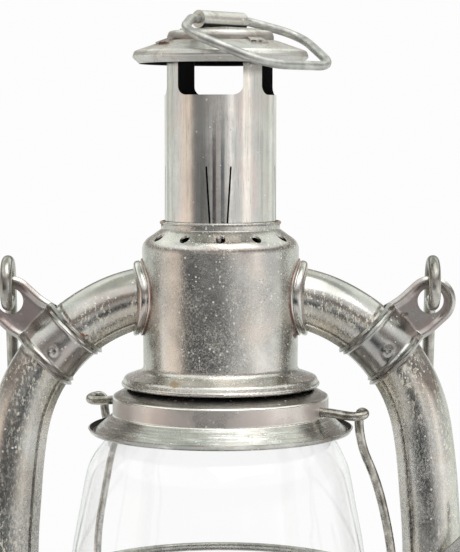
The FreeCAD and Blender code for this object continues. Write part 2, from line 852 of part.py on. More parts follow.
def globe():
    outer = Part.BSplineCurve()
    outer.interpolate([V(r, 0, z) for r, z in globe_outline()])
    first = outer.FirstParameter
    span = outer.LastParameter - first
    inner_points = []
    for i in range(25):
        at = first + span * i / 24
        way = V(*outer.tangent(at)[0]).normalize()
        inner_points.append(outer.value(at) + side_of(way) * glass_wall)
    inner_points[0].z = globe_bottom
    inner_points[-1].z = globe_top
    inner = Part.BSplineCurve()
    inner.interpolate(inner_points)
    ends = [line(outer.value(outer.LastParameter), inner_points[-1])]
    ends.append(line(inner_points[0], outer.value(first)))
    wire = Part.Wire(Part.__sortEdges__([outer.toShape(), inner.toShape()] + ends))
    return Part.Face(wire).revolve(V(), UP, 360)


def globe_seat_ring():
    outer = cap_cylinder - thin_sheet
    return ring(outer - seat_ring_width, outer, seat_ring_height, seat_ring_height + thin_sheet)


def cross_wire_way():
    turn = math.radians(cross_wire_turn)
    return V(math.cos(turn), -math.sin(turn), 0)


def globe_cap():
    cone_top = cap_cylinder_top + (cap_cylinder - cap_neck) * math.tan(math.radians(cap_cone_slope))
    corners = [(cap_neck, cap_neck_top, 0), (cap_neck, cone_top, 0.8), (cap_cylinder, cap_cylinder_top, 1.0)]
    corners += [(cap_cylinder, cap_cylinder_bottom, 0.6), (cap_rim - 1.5, cap_rim_height, 0.7)]
    corners += [(cap_rim - thin_sheet, cap_rim_height + cap_lip, 0)]
    cap = turned_sheet(corners, thin_sheet, -1)
    reach = cross_wire_way() * (cap_cylinder + 5)
    middle = V(0, 0, cross_wire_height)
    return cap.cut(rod(middle - reach, middle + reach, wire_radius + running_gap))


def globe_eye(side, radius):
    """Stations of the guard wire from the cap's wall through one eye to the top of the leg.
    The eye is a half loop that lies nearly level and rises to the back."""
    way = cross_wire_way() * side
    tilt = math.radians(eye_tilt)
    back = V(-cross_wire_way().y, cross_wire_way().x, 0) * math.cos(tilt) + UP * math.sin(tilt)
    exit_point = way * (cap_cylinder + wire_radius) + UP * cross_wire_height
    centre = way * eye_reach + UP * (cross_wire_height - cross_wire_dip) + back * radius
    stations = [(exit_point, way)]
    for turn_degrees in (0, 90, 150):
        turn = math.radians(turn_degrees)
        point = centre + way * (radius * math.sin(turn)) - back * (radius * math.cos(turn))
        stations.append((point, way * math.cos(turn) + back * math.sin(turn)))
    last, heading = stations[-1]
    level = V(heading.x, heading.y, 0).normalize()
    stations.append((last + level * eye_bend - UP * eye_bend, UP * -1))
    return stations


def guard_wire():
    foot = plate_rim + thin_sheet + wire_radius + running_gap
    down = UP * -1
    legs = []
    ends = ((1, right_eye_radius, right_foot_angle, right_knee), (-1, left_eye_radius, left_foot_angle, left_knee))
    for side, eye_radius, foot_angle, (knee_inset, knee_angle, knee_rise) in ends:
        turn = math.radians(foot_angle)
        outward = V(math.cos(turn), math.sin(turn), 0)
        stations = globe_eye(side, eye_radius)
        knee_turn = math.radians(knee_angle)
        knee_way = V(math.cos(knee_turn), math.sin(knee_turn), 0)
        knee_point = knee_way * (hoop_radius - knee_inset) + UP * (hoop_height + knee_rise)
        leg_foot = outward * foot + UP * (globe_bottom + leg_foot_length)
        stations.append((knee_point, (down * 0.97 + outward * 0.24).normalize()))
        stations.append((outward * leg_reach + UP * hoop_height, down))
        stations.append((leg_foot, down))
        edges = smooth_edges(stations)
        edges.append(line(leg_foot, outward * foot + UP * (globe_bottom + thin_sheet)))
        legs.append(edges)
    right, left = legs
    cross = line(globe_eye(-1, left_eye_radius)[0][0], globe_eye(1, right_eye_radius)[0][0])
    backwards = []
    for edge in reversed(left):
        start = edge.valueAt(edge.LastParameter)
        end = edge.valueAt(edge.FirstParameter)
        middle = edge.valueAt((edge.FirstParameter + edge.LastParameter) / 2)
        if isinstance(edge.Curve, Part.Circle):
            backwards.append(arc(start, middle, end))
        else:
            backwards.append(line(start, end))
    return swept(backwards + [cross] + right, wire_radius)


def guard_hoop():
    return Part.makeTorus(hoop_radius, wire_radius, V(0, 0, hoop_height))


def sector_solid(corners, angle, width):
    """Turned outline that covers a width in degrees, centred at an angle from the front."""
    solid = turned(corners, width)
    solid.rotate(V(), UP, angle - 90 - width / 2)
    return solid


def brim_height(radius):
    slope = hood_slope_drop / (hood_slope_end - hood_shoulder)
    return hood_top - max(radius - hood_shoulder, 0) * slope


def leg_tab(angle):
    inner = chimney_radius - thin_sheet
    lift = 0.05
    end = chimney_radius + 4.2
    corners = [(inner, hood_top - 2, 0), (chimney_radius, hood_top - 2, 0), (chimney_radius, hood_top + lift, 0)]
    corners += [(hood_shoulder, hood_top + lift, 0), (end, brim_height(end) + lift, 0)]
    corners += [(end + 0.2, brim_height(end) + lift + thin_sheet, 0)]
    corners += [(hood_shoulder + 0.1, hood_top + lift + thin_sheet, 0.3), (inner, hood_top + lift + thin_sheet, 0.3)]
    return sector_solid(corners, angle, tab_width)


def chimney_windows():
    """Cutters for the four windows, each square on top and rounded below."""
    cutters = []
    ends = list(leg_angles[1:]) + [leg_angles[0] + 360]
    for before, after in zip(leg_angles, ends):
        open_angle = after - before - leg_width
        half = chimney_radius * math.sin(math.radians(open_angle / 2))
        corners = [(-half, window_bottom, window_corner), (half, window_bottom, window_corner)]
        corners += [(half, hood_top + 4, 0), (-half, hood_top + 4, 0)]
        cutter = outline_face(corners).extrude(V(0, -chimney_radius - 4, 0))
        cutter.rotate(V(), UP, (before + after) / 2)
        cutters.append(cutter)
    return cutters


def tongue_slits():
    """Cutters that free one spring tongue: two slits that close in downwards, and its lower edge."""
    cutters = []
    for side in (-1, 1):
        top = polar(chimney_radius, tongue_centre + side * tongue_top_half, tongue_top)
        foot = polar(chimney_radius, tongue_centre + side * tongue_foot_half, tongue_bottom)
        way = foot - top
        slit = Part.makeBox(slit_width, 6, way.Length, V(-slit_width / 2, -3, 0))
        slit = slit.fuse(Part.makeCylinder(slit_width / 2, 6, V(0, -3, 0), V(0, 1, 0)))
        lean = math.degrees(math.atan2(side * (way.x ** 2 + way.y ** 2) ** 0.5, -way.z))
        slit.rotate(V(), V(0, 1, 0), 180 + lean)
        slit.rotate(V(), UP, tongue_centre + side * (tongue_top_half + tongue_foot_half) / 2)
        slit.translate(top)
        cutters.append(slit)
    half = chimney_radius * math.sin(math.radians(tongue_foot_half)) + slit_width / 2
    foot = block(2 * half, 8, tongue_bottom - slit_width, tongue_bottom, V(0, -chimney_radius, 0))
    foot.rotate(V(), UP, tongue_centre)
    return cutters + [foot]


def chimney_tube():
    tube = ring(chimney_radius - thin_sheet, chimney_radius, chimney_bottom, hood_top - thin_sheet)
    tube = tube.cut(Part.makeCompound(chimney_windows()))
    for i in range(4):
        for cutter in tongue_slits():
            cutter.rotate(V(), UP, 90.0 * i)
            tube = tube.cut(cutter)
    return tube.fuse([leg_tab(angle) for angle in leg_angles])


def chimney_foot():
    bottom = cap_neck_top + moving_gap
    corners = [(chimney_radius, bottom, 0), (foot_ring_radius, bottom, 0.3), (foot_ring_radius, bottom + 0.8, 0.3)]
    corners += [(chimney_radius + 0.8, bottom + 0.8, 0), (chimney_radius + 0.8, bottom + 3.5, 0)]
    corners += [(chimney_radius, bottom + 3.5, 0)]
    return turned(corners)


def hood():
    corners = [(0, hood_top, 0), (hood_shoulder, hood_top, 2.0)]
    corners += [(hood_slope_end, hood_top - hood_slope_drop, 1.2), (hood_radius, hood_rim_height, 0.9)]
    corners += [(hood_inner_rim, hood_bottom, 0)]
    cover = turned_sheet(corners, thin_sheet, -1)
    inner = chimney_radius - thin_sheet - running_gap
    outer = chimney_radius + running_gap
    slot = [(inner, hood_top - 3, 0), (outer, hood_top - 3, 0), (outer, hood_top + 3, 0), (inner, hood_top + 3, 0)]
    for angle in leg_angles:
        cover = cover.cut(sector_solid(slot, angle, tab_width + 0.4))
    return cover


def hood_cap():
    top = hood_top + hood_cap_height
    corners = [(0, top, 0), (hood_cap_radius - 0.6, top, 1.4), (hood_cap_radius, hood_top + 1.4, 0)]
    corners += [(hood_cap_radius, hood_top, 0)]
    return turned_sheet(corners, thin_sheet, -1)


def barrel_way():
    turn = math.radians(barrel_turn)
    return V(math.cos(turn), math.sin(turn), 0)


def ring_barrel():
    way = barrel_way()
    middle = V(0, 0, barrel_height)
    half = way * (barrel_length / 2)
    barrel = rod(middle - half, middle + half, barrel_radius)
    strap_bottom = hood_top + hood_cap_height
    strap = block(strap_width, 2 * strap_reach, strap_bottom, strap_bottom + strap_thickness)
    web = block(strap_width, barrel_web, strap_bottom, barrel_height)
    strap = strap.fuse(web)
    strap.rotate(V(), UP, barrel_turn)
    bore = rod(middle - half * 2, middle + half * 2, wire_radius + running_gap)
    return barrel.fuse(strap).cut(bore)


def lift_ring():
    """The ring hangs to the front right. It is drawn flat along its hinge and away from it."""
    way = barrel_way()
    droop = math.radians(ring_droop)
    fall = V(way.y, -way.x, 0) * math.cos(droop) - UP * math.sin(droop)

    def place(along, away):
        return V(0, 0, barrel_height) + way * along + fall * away

    start = barrel_length / 2 + ring_start
    corners = [(ring_end_gap / 2, 0, 0), (start, 0, 3.2)]
    corners += [(ring_shoulder, ring_shoulder_drop, ring_shoulder_bend), (ring_foot, ring_length, ring_foot_bend)]
    corners += [(-along, away, rounding) for along, away, rounding in reversed(corners)]
    points = [place(along, away) for along, away, rounding in corners]
    return swept(rounded_edges(points, [rounding for along, away, rounding in corners]), wire_radius)


def lever_clip():
    bottom = lever_pivot_height - clip_width / 2
    top = lever_pivot_height + clip_width / 2
    centre = V(tube_spread, 0, 0)
    clip = ring(tube_radius, pivot_offset, bottom, top, centre)
    front = -pivot_offset - 0.4
    pad = rod(V(tube_spread, 0, lever_pivot_height), V(tube_spread, front, lever_pivot_height), lever_boss - 1)
    clip = clip.fuse(pad).cut(rod(V(tube_spread, 0, 0), V(tube_spread, 0, 2 * top), tube_radius))
    return clip.cut(rivet_shank(rivet_radius))


def lever_back():
    return -pivot_offset - 0.4 - moving_gap


def rivet_shank(radius):
    start = V(tube_spread, -tube_radius - 0.05, lever_pivot_height)
    end = V(tube_spread, lever_back() - lever_thickness - moving_gap - 0.2, lever_pivot_height)
    return rod(start, end, radius)


def lever_rivet():
    head_start = lever_back() - lever_thickness - moving_gap
    corners = [(0, 0, 0), (rivet_head, 0, 0), (rivet_head, 0.4, 0), (rivet_head - 1.2, rivet_head_height, 1.0)]
    corners += [(0, rivet_head_height, 0)]
    head = turned(corners)
    head.rotate(V(), V(1, 0, 0), 90)
    head.translate(V(tube_spread, head_start, lever_pivot_height))
    return rivet_shank(rivet_radius).fuse(head)


def lift_lever():
    """A flat lever with its arm under the hoop and its thumb piece up to the right."""
    slope = math.radians(lever_edge_angle)
    along = V(math.cos(slope), 0, math.sin(slope))
    across = V(-math.sin(slope), 0, math.cos(slope))

    def edge_corner(way, down, rounding):
        point = along * way + across * (lever_edge_offset - down)
        return point.x, point.z, rounding

    tip = V(-lever_reach, 0, lever_tip_rise)
    arm_way = V(tip.x, 0, tip.z).normalize()
    arm_side = side_of(arm_way)
    arm = [tip + arm_side * (lever_tip_radius - 0.3), tip - arm_side * (lever_tip_radius - 0.3)]
    arm += [arm_side * -4.6, arm_side * 4.6]
    thumb = [(-lever_boss + 1.0, 2.0, 0), edge_corner(lever_edge_start, 0, 2.0)]
    thumb += [edge_corner(lever_edge_end, 0, 4.0), edge_corner(lever_edge_end, lever_arm_width, 4.0)]
    thumb += [edge_corner(lever_edge_start + 10, lever_arm_width, 8.0), (lever_boss - 0.3, -1.0, 0)]
    through = V(0, lever_thickness, 0)
    plate = outline_face([(corner.x, corner.z, 0) for corner in arm]).extrude(through)
    plate = plate.fuse([outline_face(thumb).extrude(through), rod(V(), through, lever_boss)])
    plate = plate.fuse(rod(tip, tip + through, lever_tip_radius)).removeSplitter()
    plate = plate.cut(rod(V() - through, through * 2, rivet_radius + running_gap))
    plate.translate(V(tube_spread, lever_back() - lever_thickness, lever_pivot_height))
    return plate


nodes = {
    "tank_base": tank_base(),
    "tank_shell": tank_shell(),
    "filler_neck": filler_neck(),
    "filler_gasket": filler_gasket(),
    "filler_cap": filler_cap(),
    "burner_collar": burner_collar(),
    "air_drum": air_drum(),
    "burner_deck": burner_deck(),
    "globe_guide": globe_guide(),
    "burner_base": burner_base(),
    "wick_tube": wick_tube(),
    "burner_dome": burner_dome(),
    "winder_bush": winder_bush(),
    "winder_spindle": winder_spindle(),
    "spur_wheels": spur_wheels(),
    "winder_knob": winder_knob(),
    "wick": wick(),
    "right_tube": right_tube(),
    "left_tube": mirrored(right_tube()),
    "right_upper_collar": right_upper_collar(),
    "left_upper_collar": mirrored(right_upper_collar()),
    "right_lower_collar": right_lower_collar(),
    "left_lower_collar": mirrored(right_lower_collar()),
    "air_chamber": air_chamber(),
    "right_bail_band": right_bail_band(),
    "left_bail_band": mirrored(right_bail_band()),
    "bail": bail(),
    "lever_clip": lever_clip(),
    "lever_rivet": lever_rivet(),
    "lift_lever": lift_lever(),
    "globe_plate": globe_plate(),
    "globe": globe(),
    "globe_seat_ring": globe_seat_ring(),
    "globe_cap": globe_cap(),
    "guard_wire": guard_wire(),
    "guard_hoop": guard_hoop(),
    "chimney_tube": chimney_tube(),
    "chimney_foot": chimney_foot(),
    "hood": hood(),
    "hood_cap": hood_cap(),
    "ring_barrel": ring_barrel(),
    "lift_ring": lift_ring(),
}

os.makedirs("parts", exist_ok=True)
for name, shape in nodes.items():
    shape.exportStep(f"parts/{name}.step")
    print(name, len(shape.Solids), shape.isValid(), round(shape.Volume, 1))
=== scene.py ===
import json
import math

import bmesh
import bpy
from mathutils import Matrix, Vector, noise


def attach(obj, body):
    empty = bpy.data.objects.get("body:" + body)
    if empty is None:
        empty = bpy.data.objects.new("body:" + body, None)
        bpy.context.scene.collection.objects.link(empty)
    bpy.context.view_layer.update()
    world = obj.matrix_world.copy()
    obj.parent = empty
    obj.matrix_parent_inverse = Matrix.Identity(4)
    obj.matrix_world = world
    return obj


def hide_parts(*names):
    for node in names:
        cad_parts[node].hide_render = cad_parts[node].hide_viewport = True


# A tubular hurricane lantern of aged tinned steel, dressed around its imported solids.
# Sizes are in millimetres until a mesh is made, and MM turns them into metres.

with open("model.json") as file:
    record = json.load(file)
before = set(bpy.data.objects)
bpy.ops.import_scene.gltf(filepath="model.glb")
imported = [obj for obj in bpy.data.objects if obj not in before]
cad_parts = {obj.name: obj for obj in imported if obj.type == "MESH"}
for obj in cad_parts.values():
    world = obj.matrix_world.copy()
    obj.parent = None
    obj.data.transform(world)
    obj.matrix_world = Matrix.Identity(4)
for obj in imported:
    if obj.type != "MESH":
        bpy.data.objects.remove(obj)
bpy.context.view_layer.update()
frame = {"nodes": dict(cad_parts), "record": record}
MM = 0.001
UP = Vector((0, 0, 1))

# Sockets of the colour mix node
MIX_SHARE = 0
MIX_FIRST = 6
MIX_SECOND = 7
MIX_RESULT = 2

# Camera of the photograph
image_height = 552
image_centre_x = 230
image_centre_y = 276
pixels_per_mm = 3.0
focal_pixels = 2028.0
sensor_side = 36.0
camera_height = 285.0
camera_distance = focal_pixels / pixels_per_mm
horizon_pixel = 127.0
axis_pixel = 220.5
nearest_view = 0.01
farthest_view = 20.0

# Side tubes
tube_radius = 9.9
tube_wall = 0.6
tube_spread = 71.3
tube_low = 56.25
drum_radius = 32.8
tube_start = drum_radius - 1.6
tube_entry_x = 24.0
tube_entry_height = 228.6
tube_entry_reach = 25.0
tube_step = 1.5
upper_bend = 53.9
flank_bend = 349.0
flank_angle = 8.0
lower_bend = 30.0
chamber_radius = 26.2
seam_angle = 63.0
seam_half = 13.0
seam_rise = 0.5
seam_groove = 0.45
section_step = 5
section_gap = 7
collar_radius = 12.9
collar_steps = 96
tube_dent = 0.16
tube_dent_size = 17.0
# Where the noise is read for each of the three parts of a dent's push
dent_shifts = (Vector((0, 0, 0)), Vector((31.7, 0, 0)), Vector((0, 47.3, 0)))

# Globe cap, hood and lever
cap_cylinder_top = 195.3
cap_cylinder_bottom = 189.2
hood_cap_radius = 17.7
hood_hollow_radius = 26.4
hoop_lean = 0.7
# The lever's slanted edge: cosine and sine of its slant, and how far out its border of painted shade starts
lever_up = 0.829
lever_across = 0.559
lever_shade_border = 80.3

# Globe
glass_wall = 1.0
glass_wave = 0.25
glass_wave_size = 26
globe_bottom = 83.0
globe_top = 188.9
globe_shift = 0.8
lower_seat = 6
lower_free = 20
upper_free = 16
upper_seat = 6
globe_sides = 160
globe_line_steps = 8
globe_line = [(31.2, 0), (31.8, 4.0), (38.6, 13.0), (46.4, 26.5), (50.3, 45.0), (48.9, 61.0), (46.3, 75.7)]
globe_line += [(44.3, 86.5), (42.3, 91.7), (39.3, 96.3), (36.0, 99.8), (34.4, 103.3), (34.4, 105.9)]

# Bail bands
band_start = 35.5
band_end = 51.1
band_wall = 0.6
wall_slack = 0.02
ear_angle = 42.6
ear_reach = 75.8
ear_radius = 8.3
ear_hole = 4.4
ear_crease = 11.7
crease_round = 1.0
flat_from = 10
flat_full = 16
rim_from = 6.5
rim_full = 13
rim_height = 1.0
rim_width = 2.9
weld_reach = 0.2
weld_across = -2.2

# Relief of the bail bands: height, place and half width of each round form, the hollows with a minus
first_bead = (1.0, 0.8, 0.5)
second_bead = (0.7, 2.25, 0.45)
weld_rings = ((0.22, 1.05, 0.35), (-0.2, 0, 0.55), (-0.12, 2.2, 0.8))

# Fineness of the bail bands' mesh
strap_insets = [0, 0.2, 0.45, 0.8, 1.15, 1.5, 1.85, 2.3, 2.7, 3.2]
strap_middle_steps = 20
strap_round_steps = 52
web_steps = 6
crease_steps = 6
ear_side_steps = 12
ear_bow_steps = 40
ear_depth_steps = 18
ear_crowding = 1.4

# Film on the metal: scales of its noise in features a metre, then shares, heights, depths and limits
cloud_scale = 38
patch_scale = 52
cover_scale = 70
polish_scale = 120
dent_scale = 150
dot_scale = 900
grain_scale = 2100
spot_scale = 900
patch_share = 0.6
pale_share = 0.45
pit_share = 0.42
polish_spread = 0.08
dot_rise = 1.5
dent_rise = 4.0
film_depth = 0.00003
wire_grain_depth = 0.00005
soft_grain_depth = 0.0002
inward_full = -0.006
inward_none = -0.003
spot_core = 0.7
spot_rim = 1.15

# Colours of the film, the deposits and the stains, and of painted shade and painted highlights
cream = (0.86, 0.82, 0.69)
pale_grit = (0.84, 0.81, 0.72)
dark_pit = (0.12, 0.11, 0.095)
white_dot = (0.92, 0.92, 0.88)
# Near-black for the faces that look towards the axis: dark deposit with painted shade of the hollows
inner_deposit_and_shade = (0.03, 0.027, 0.024)
# Near-black for the chimney's inside and the hood's underside: soot with painted shade
soot_and_shade_black = (0.009, 0.009, 0.010)
red_brown = (0.24, 0.11, 0.08)
rust = (0.33, 0.12, 0.055)
brown_stain = (0.16, 0.10, 0.075)
cone_dark = (0.28, 0.26, 0.24)
side_pink = (0.62, 0.55, 0.51)
skirt_grey = (0.36, 0.375, 0.355)
# Pale streaks of painted highlight on the cap's skirt
skirt_highlight = (0.82, 0.83, 0.80)
# Pale lines of painted highlight on the corners of the cap's cylinder
rim_highlight = (0.86, 0.85, 0.80)
streak_pink = (0.68, 0.58, 0.54)
streak_green = (0.43, 0.44, 0.41)
streak_brown = (0.34, 0.31, 0.28)
hood_stain = (0.45, 0.40, 0.355)
# Dark ring of painted shade round the foot of the hood's cap
hood_cap_foot_shade = (0.20, 0.17, 0.15)
grime = (0.13, 0.09, 0.065)
tan_film = (0.60, 0.54, 0.44)
# Dark border of painted shade along the lever's upper edge
lever_edge_shade = (0.05, 0.046, 0.042)
web_pink = (0.40, 0.325, 0.305)

# Tones of the sheets: dark and light of the clouds, and the warm patches
grey_dark = (0.42, 0.41, 0.385)
grey_light = (0.66, 0.645, 0.605)
sheet_tones = ((0.38, 0.372, 0.355), (0.63, 0.615, 0.58), (0.56, 0.495, 0.44))
cap_tones = (grey_dark, grey_light, (0.52, 0.45, 0.41))
tube_tones = ((0.35, 0.345, 0.325), (0.57, 0.56, 0.53), (0.52, 0.455, 0.39))
lever_tones = (grey_dark, grey_light, (0.58, 0.515, 0.46))
strap_tones = ((0.33, 0.33, 0.315), (0.52, 0.51, 0.48), (0.48, 0.41, 0.38))
hood_tones = ((0.56, 0.56, 0.525), (0.70, 0.695, 0.66), (0.63, 0.56, 0.52))
chimney_tones = ((0.60, 0.59, 0.56), (0.76, 0.745, 0.70), (0.68, 0.60, 0.555))

# Marks on the sheets: centre, reach along each axis, colour
chamber_marks = [
    ((-14.8, -26.5, 202.2), (1.7, 4.0, 0.8), (0.40, 0.31, 0.19)),
    ((-19.6, 0, 253.0), (1.4, 9.0, 0.9), (0.36, 0.20, 0.12)),
    ((19.3, 0, 253.0), (1.6, 9.0, 0.9), (0.36, 0.20, 0.12)),
    ((24.6, -6.0, 216.3), (1.2, 5.0, 1.1), brown_stain),
]
tab_shadow_and_rust_marks = [
    # The first mark is a painted shadow, black under the folded tab of the chimney's leg; the second is a
    # rust line at the left tab
    ((11.5, -15.0, 312.6), (2.6, 6.0, 0.5), (0.02, 0.018, 0.016)),
    ((-18.6, -12.0, 312.1), (3.0, 7.0, 0.7), (0.17, 0.10, 0.065)),
]
strap_marks = [((61.6, -2.0, 222.4), (1.5, 3.0, 0.7), brown_stain)]
tube_marks = [((-47.0, -8.0, 216.4), (2.7, 6.0, 0.8), rust)]

# Studio that the metal mirrors, as strips: turn round the axis in degrees, with 0 at the camera and 90 to
# the right, then the level, and last how warm the strip is, where it isn't neutral
level_strips = [(-166, 0.8), (-162, 1.0), (-143, 0.95), (-141, 0.4), (-136, 0.4), (-134, 0.95)]
level_strips += [(-124, 0.95), (-120, 0.55), (-112, 0.85), (-98, 0.85), (-82, 1.05, 1), (-65, 1.05, 1)]
level_strips += [(-59, 0.26), (-36, 0.26), (-28, 0.45), (-14, 0.68), (9, 0.66), (23, 1.7)]
level_strips += [(31, 0.85), (46, 0.9), (51, 1.8, 0.5), (62, 1.75, 0.5), (67, 0.8), (108, 0.88)]
level_strips += [(118, 0.6), (122, 1.2), (134, 1.1), (138, 0.42), (143, 0.95), (162, 1.0), (166, 0.8)]
low_strips = [(-166, 0.8), (-150, 0.9), (-134, 0.7), (-124, 1.05), (-112, 1.2), (-96, 1.15)]
low_strips += [(-80, 1.35, 1), (-63, 1.15, 1), (-55, 0.1, -1), (-20, 0.035, -1), (-8, 0.05, -1)]
low_strips += [(2, 0.12, -1), (14, 0.34), (30, 0.8), (46, 1.15), (56, 1.4), (86, 1.35), (104, 1.35)]
low_strips += [(124, 1.35), (134, 0.9), (150, 0.95), (166, 0.8)]
high_strips = [(-175, 0.8), (-150, 1.5), (-105, 1.3), (-60, 1.5), (-20, 1.1), (40, 1.1), (75, 1.5)]
high_strips += [(105, 1.3), (150, 1.5), (175, 0.8)]
strip_warmth = 0.13
blue_loss = 1.8
back_from = 100
back_green = 0.05

# Where one part of the studio turns into the next, by the sine of the elevation, and their plain shades
ground_to_low = (-0.75, -0.35)
low_to_level = (-0.085, -0.05)
level_to_dusk = (0.10, 0.20)
dusk_to_high = (0.40, 0.50)
high_to_ceiling = (0.76, 0.86)
ground_shade = (0.72, 0.72, 0.70)
dusk_shade = (0.34, 0.30, 0.28)
ceiling_shade = (0.66, 0.70, 0.64)
diffuse_shade = (0.62, 0.62, 0.62)
backdrop_white = (0.98, 0.98, 0.98)

# Floor and lamp, in metres
floor_pale = (0.9, 0.9, 0.9)
floor_radius = 0.55
floor_sides = 96
floor_drop = 0.0002
fade_start = 0.3
fade_end = 0.98
white_near = 0.7
lamp_place = Vector((0.3, -0.5, 1.5))
lamp_aim = Vector((0, 0, 0.15))
lamp_side = 1.2
lamp_power = 9


def material(name):
    made = bpy.data.materials.new(name)
    made.use_nodes = True
    return made


def heading(turn):
    """Way outward to the right, turned up by an angle."""
    return Vector((math.cos(turn), 0, math.sin(turn)))


def bend_centre():
    """Centre of the right tube's shoulder bend."""
    lean = math.radians(flank_angle)
    across = tube_spread - flank_bend * (1 - math.cos(lean)) - upper_bend * math.cos(lean)
    rise = math.sqrt(upper_bend ** 2 - (tube_entry_reach - across) ** 2)
    return Vector((across, 0, tube_entry_height - rise))


class Tree:
    """Short words for building a node tree. A value is a number, a colour or another node's output."""

    def __init__(self, tree):
        self.tree = tree

    def link(self, source, target):
        self.tree.links.new(source, target)

    def add(self, kind, **settings):
        node = self.tree.nodes.new(kind)
        for key, setting in settings.items():
            setattr(node, key, setting)
        return node

    def feed(self, socket, value):
        if isinstance(value, (int, float)):
            socket.default_value = value
        elif isinstance(value, tuple):
            socket.default_value = (*value, 1.0)
        else:
            self.link(value, socket)

    def split(self, vector):
        node = self.add("ShaderNodeSeparateXYZ")
        self.link(vector, node.inputs[0])
        return node.outputs[0], node.outputs[1], node.outputs[2]

    def maths(self, operation, first, second=0.0):
        node = self.add("ShaderNodeMath", operation=operation)
        self.feed(node.inputs[0], first)
        self.feed(node.inputs[1], second)
        return node.outputs["Value"]

    def times(self, first, second):
        return self.maths("MULTIPLY", first, second)

    def ramp(self, value, low, high, to_low=0.0, to_high=1.0, kind="SMOOTHSTEP"):
        """Value carried from one range to another, and held at the ends."""
        node = self.add("ShaderNodeMapRange", interpolation_type=kind)
        node.inputs["From Min"].default_value = low
        node.inputs["From Max"].default_value = high
        node.inputs["To Min"].default_value = to_low
        node.inputs["To Max"].default_value = to_high
        self.link(value, node.inputs["Value"])
        return node.outputs["Result"]

    def mix(self, share, first, second):
        node = self.add("ShaderNodeMix", data_type="RGBA")
        for index, value in ((MIX_SHARE, share), (MIX_FIRST, first), (MIX_SECOND, second)):
            self.feed(node.inputs[index], value)
        return node.outputs[MIX_RESULT]

    def rays(self, *kinds):
        """One for the rays of any of the named kinds, and nought for others."""
        path = self.add("ShaderNodeLightPath")
        seen = path.outputs[kinds[0]]
        for kind in kinds[1:]:
            seen = self.maths("MAXIMUM", seen, path.outputs[kind])
        return seen


class Nodes(Tree):
    """Node tree of a new material, with the places and masks that its layers are built from."""

    def __init__(self, name):
        self.made = material(name)
        super().__init__(self.made.node_tree)
        self.shader = self.tree.nodes["Principled BSDF"]
        coordinates = self.add("ShaderNodeTexCoord")
        self.place = coordinates.outputs["Object"]
        self.across, self.depth, self.height = self.split(self.place)
        self.look = self.split(coordinates.outputs["Normal"])

    def set(self, name, value):
        self.feed(self.shader.inputs[name], value)

    def length(self, first, second):
        """Length of the way that two distances make at a right angle."""
        squares = [self.times(value, value) for value in (first, second)]
        return self.maths("SQRT", self.maths("ADD", *squares))

    def axis_distance(self):
        """Distance from the lantern's axis."""
        return self.length(self.across, self.depth)

    def from_centre(self, centre):
        """Distances outward and up from a centre, the same on both sides of the lantern."""
        out = self.maths("SUBTRACT", self.maths("ABSOLUTE", self.across), centre.x * MM)
        return out, self.maths("SUBTRACT", self.height, centre.z * MM)

    def inward(self):
        """Mask of the faces that look towards the lantern's axis."""
        first = self.times(self.across, self.look[0])
        second = self.times(self.depth, self.look[1])
        return self.ramp(self.maths("ADD", first, second), inward_full, inward_none, 1.0, 0.0)

    def band(self, value, low, high, soft):
        """Mask between two distances in millimetres, with soft ends."""
        rise = self.ramp(value, (low - soft) * MM, low * MM)
        return self.times(rise, self.ramp(value, high * MM, (high + soft) * MM, 1.0, 0.0))

    def hoops(self, round_scale, across_scale):
        """Places for streaks that run round the axis."""
        level = self.maths("SUBTRACT", self.axis_distance(), self.times(self.height, hoop_lean))
        node = self.add("ShaderNodeCombineXYZ")
        scaled = ((self.across, round_scale), (self.depth, round_scale), (level, across_scale))
        for socket, (value, scale) in zip(node.inputs, scaled):
            self.link(self.times(value, scale), socket)
        return node.outputs[0]

    def stretched(self, scale):
        mapping = self.add("ShaderNodeMapping")
        mapping.inputs["Scale"].default_value = scale
        self.link(self.place, mapping.inputs["Vector"])
        return mapping.outputs["Vector"]

    def noise(self, scale, detail=4.0, rough=0.55, place=None, distortion=0.0):
        node = self.add("ShaderNodeTexNoise")
        node.inputs["Scale"].default_value = scale
        node.inputs["Detail"].default_value = detail
        node.inputs["Roughness"].default_value = rough
        node.inputs["Distortion"].default_value = distortion
        self.link(place or self.place, node.inputs["Vector"])
        return node.outputs["Fac"]

    def cells(self, scale):
        """Distance to the nearest of many scattered points, and two random numbers of that point."""
        node = self.add("ShaderNodeTexVoronoi")
        node.inputs["Scale"].default_value = scale
        self.link(self.place, node.inputs["Vector"])
        chosen = self.add("ShaderNodeSeparateColor")
        self.link(node.outputs["Color"], chosen.inputs["Color"])
        return node.outputs["Distance"], chosen.outputs["Red"], chosen.outputs["Green"]

    def spot(self, centre, reaches):
        """Mask of a blotch with a ragged rim, by its centre and its reach along each axis in millimetres."""
        value = self.place
        for operation, numbers in (("SUBTRACT", centre), ("DIVIDE", reaches)):
            node = self.add("ShaderNodeVectorMath", operation=operation)
            self.link(value, node.inputs[0])
            node.inputs[1].default_value = [number * MM for number in numbers]
            value = node.outputs["Vector"]
        length = self.add("ShaderNodeVectorMath", operation="LENGTH")
        self.link(value, length.inputs[0])
        ragged = self.ramp(self.noise(spot_scale, 4, 0.7), 0.3, 0.7, -0.5, 0.5)
        away = self.maths("ADD", length.outputs["Value"], ragged)
        return self.ramp(away, spot_core, spot_rim, 1.0, 0.0)

    def bump(self, height, strength, distance):
        node = self.add("ShaderNodeBump")
        node.inputs["Strength"].default_value = strength
        node.inputs["Distance"].default_value = distance
        self.link(height, node.inputs["Height"])
        self.link(node.outputs["Normal"], self.shader.inputs["Normal"])


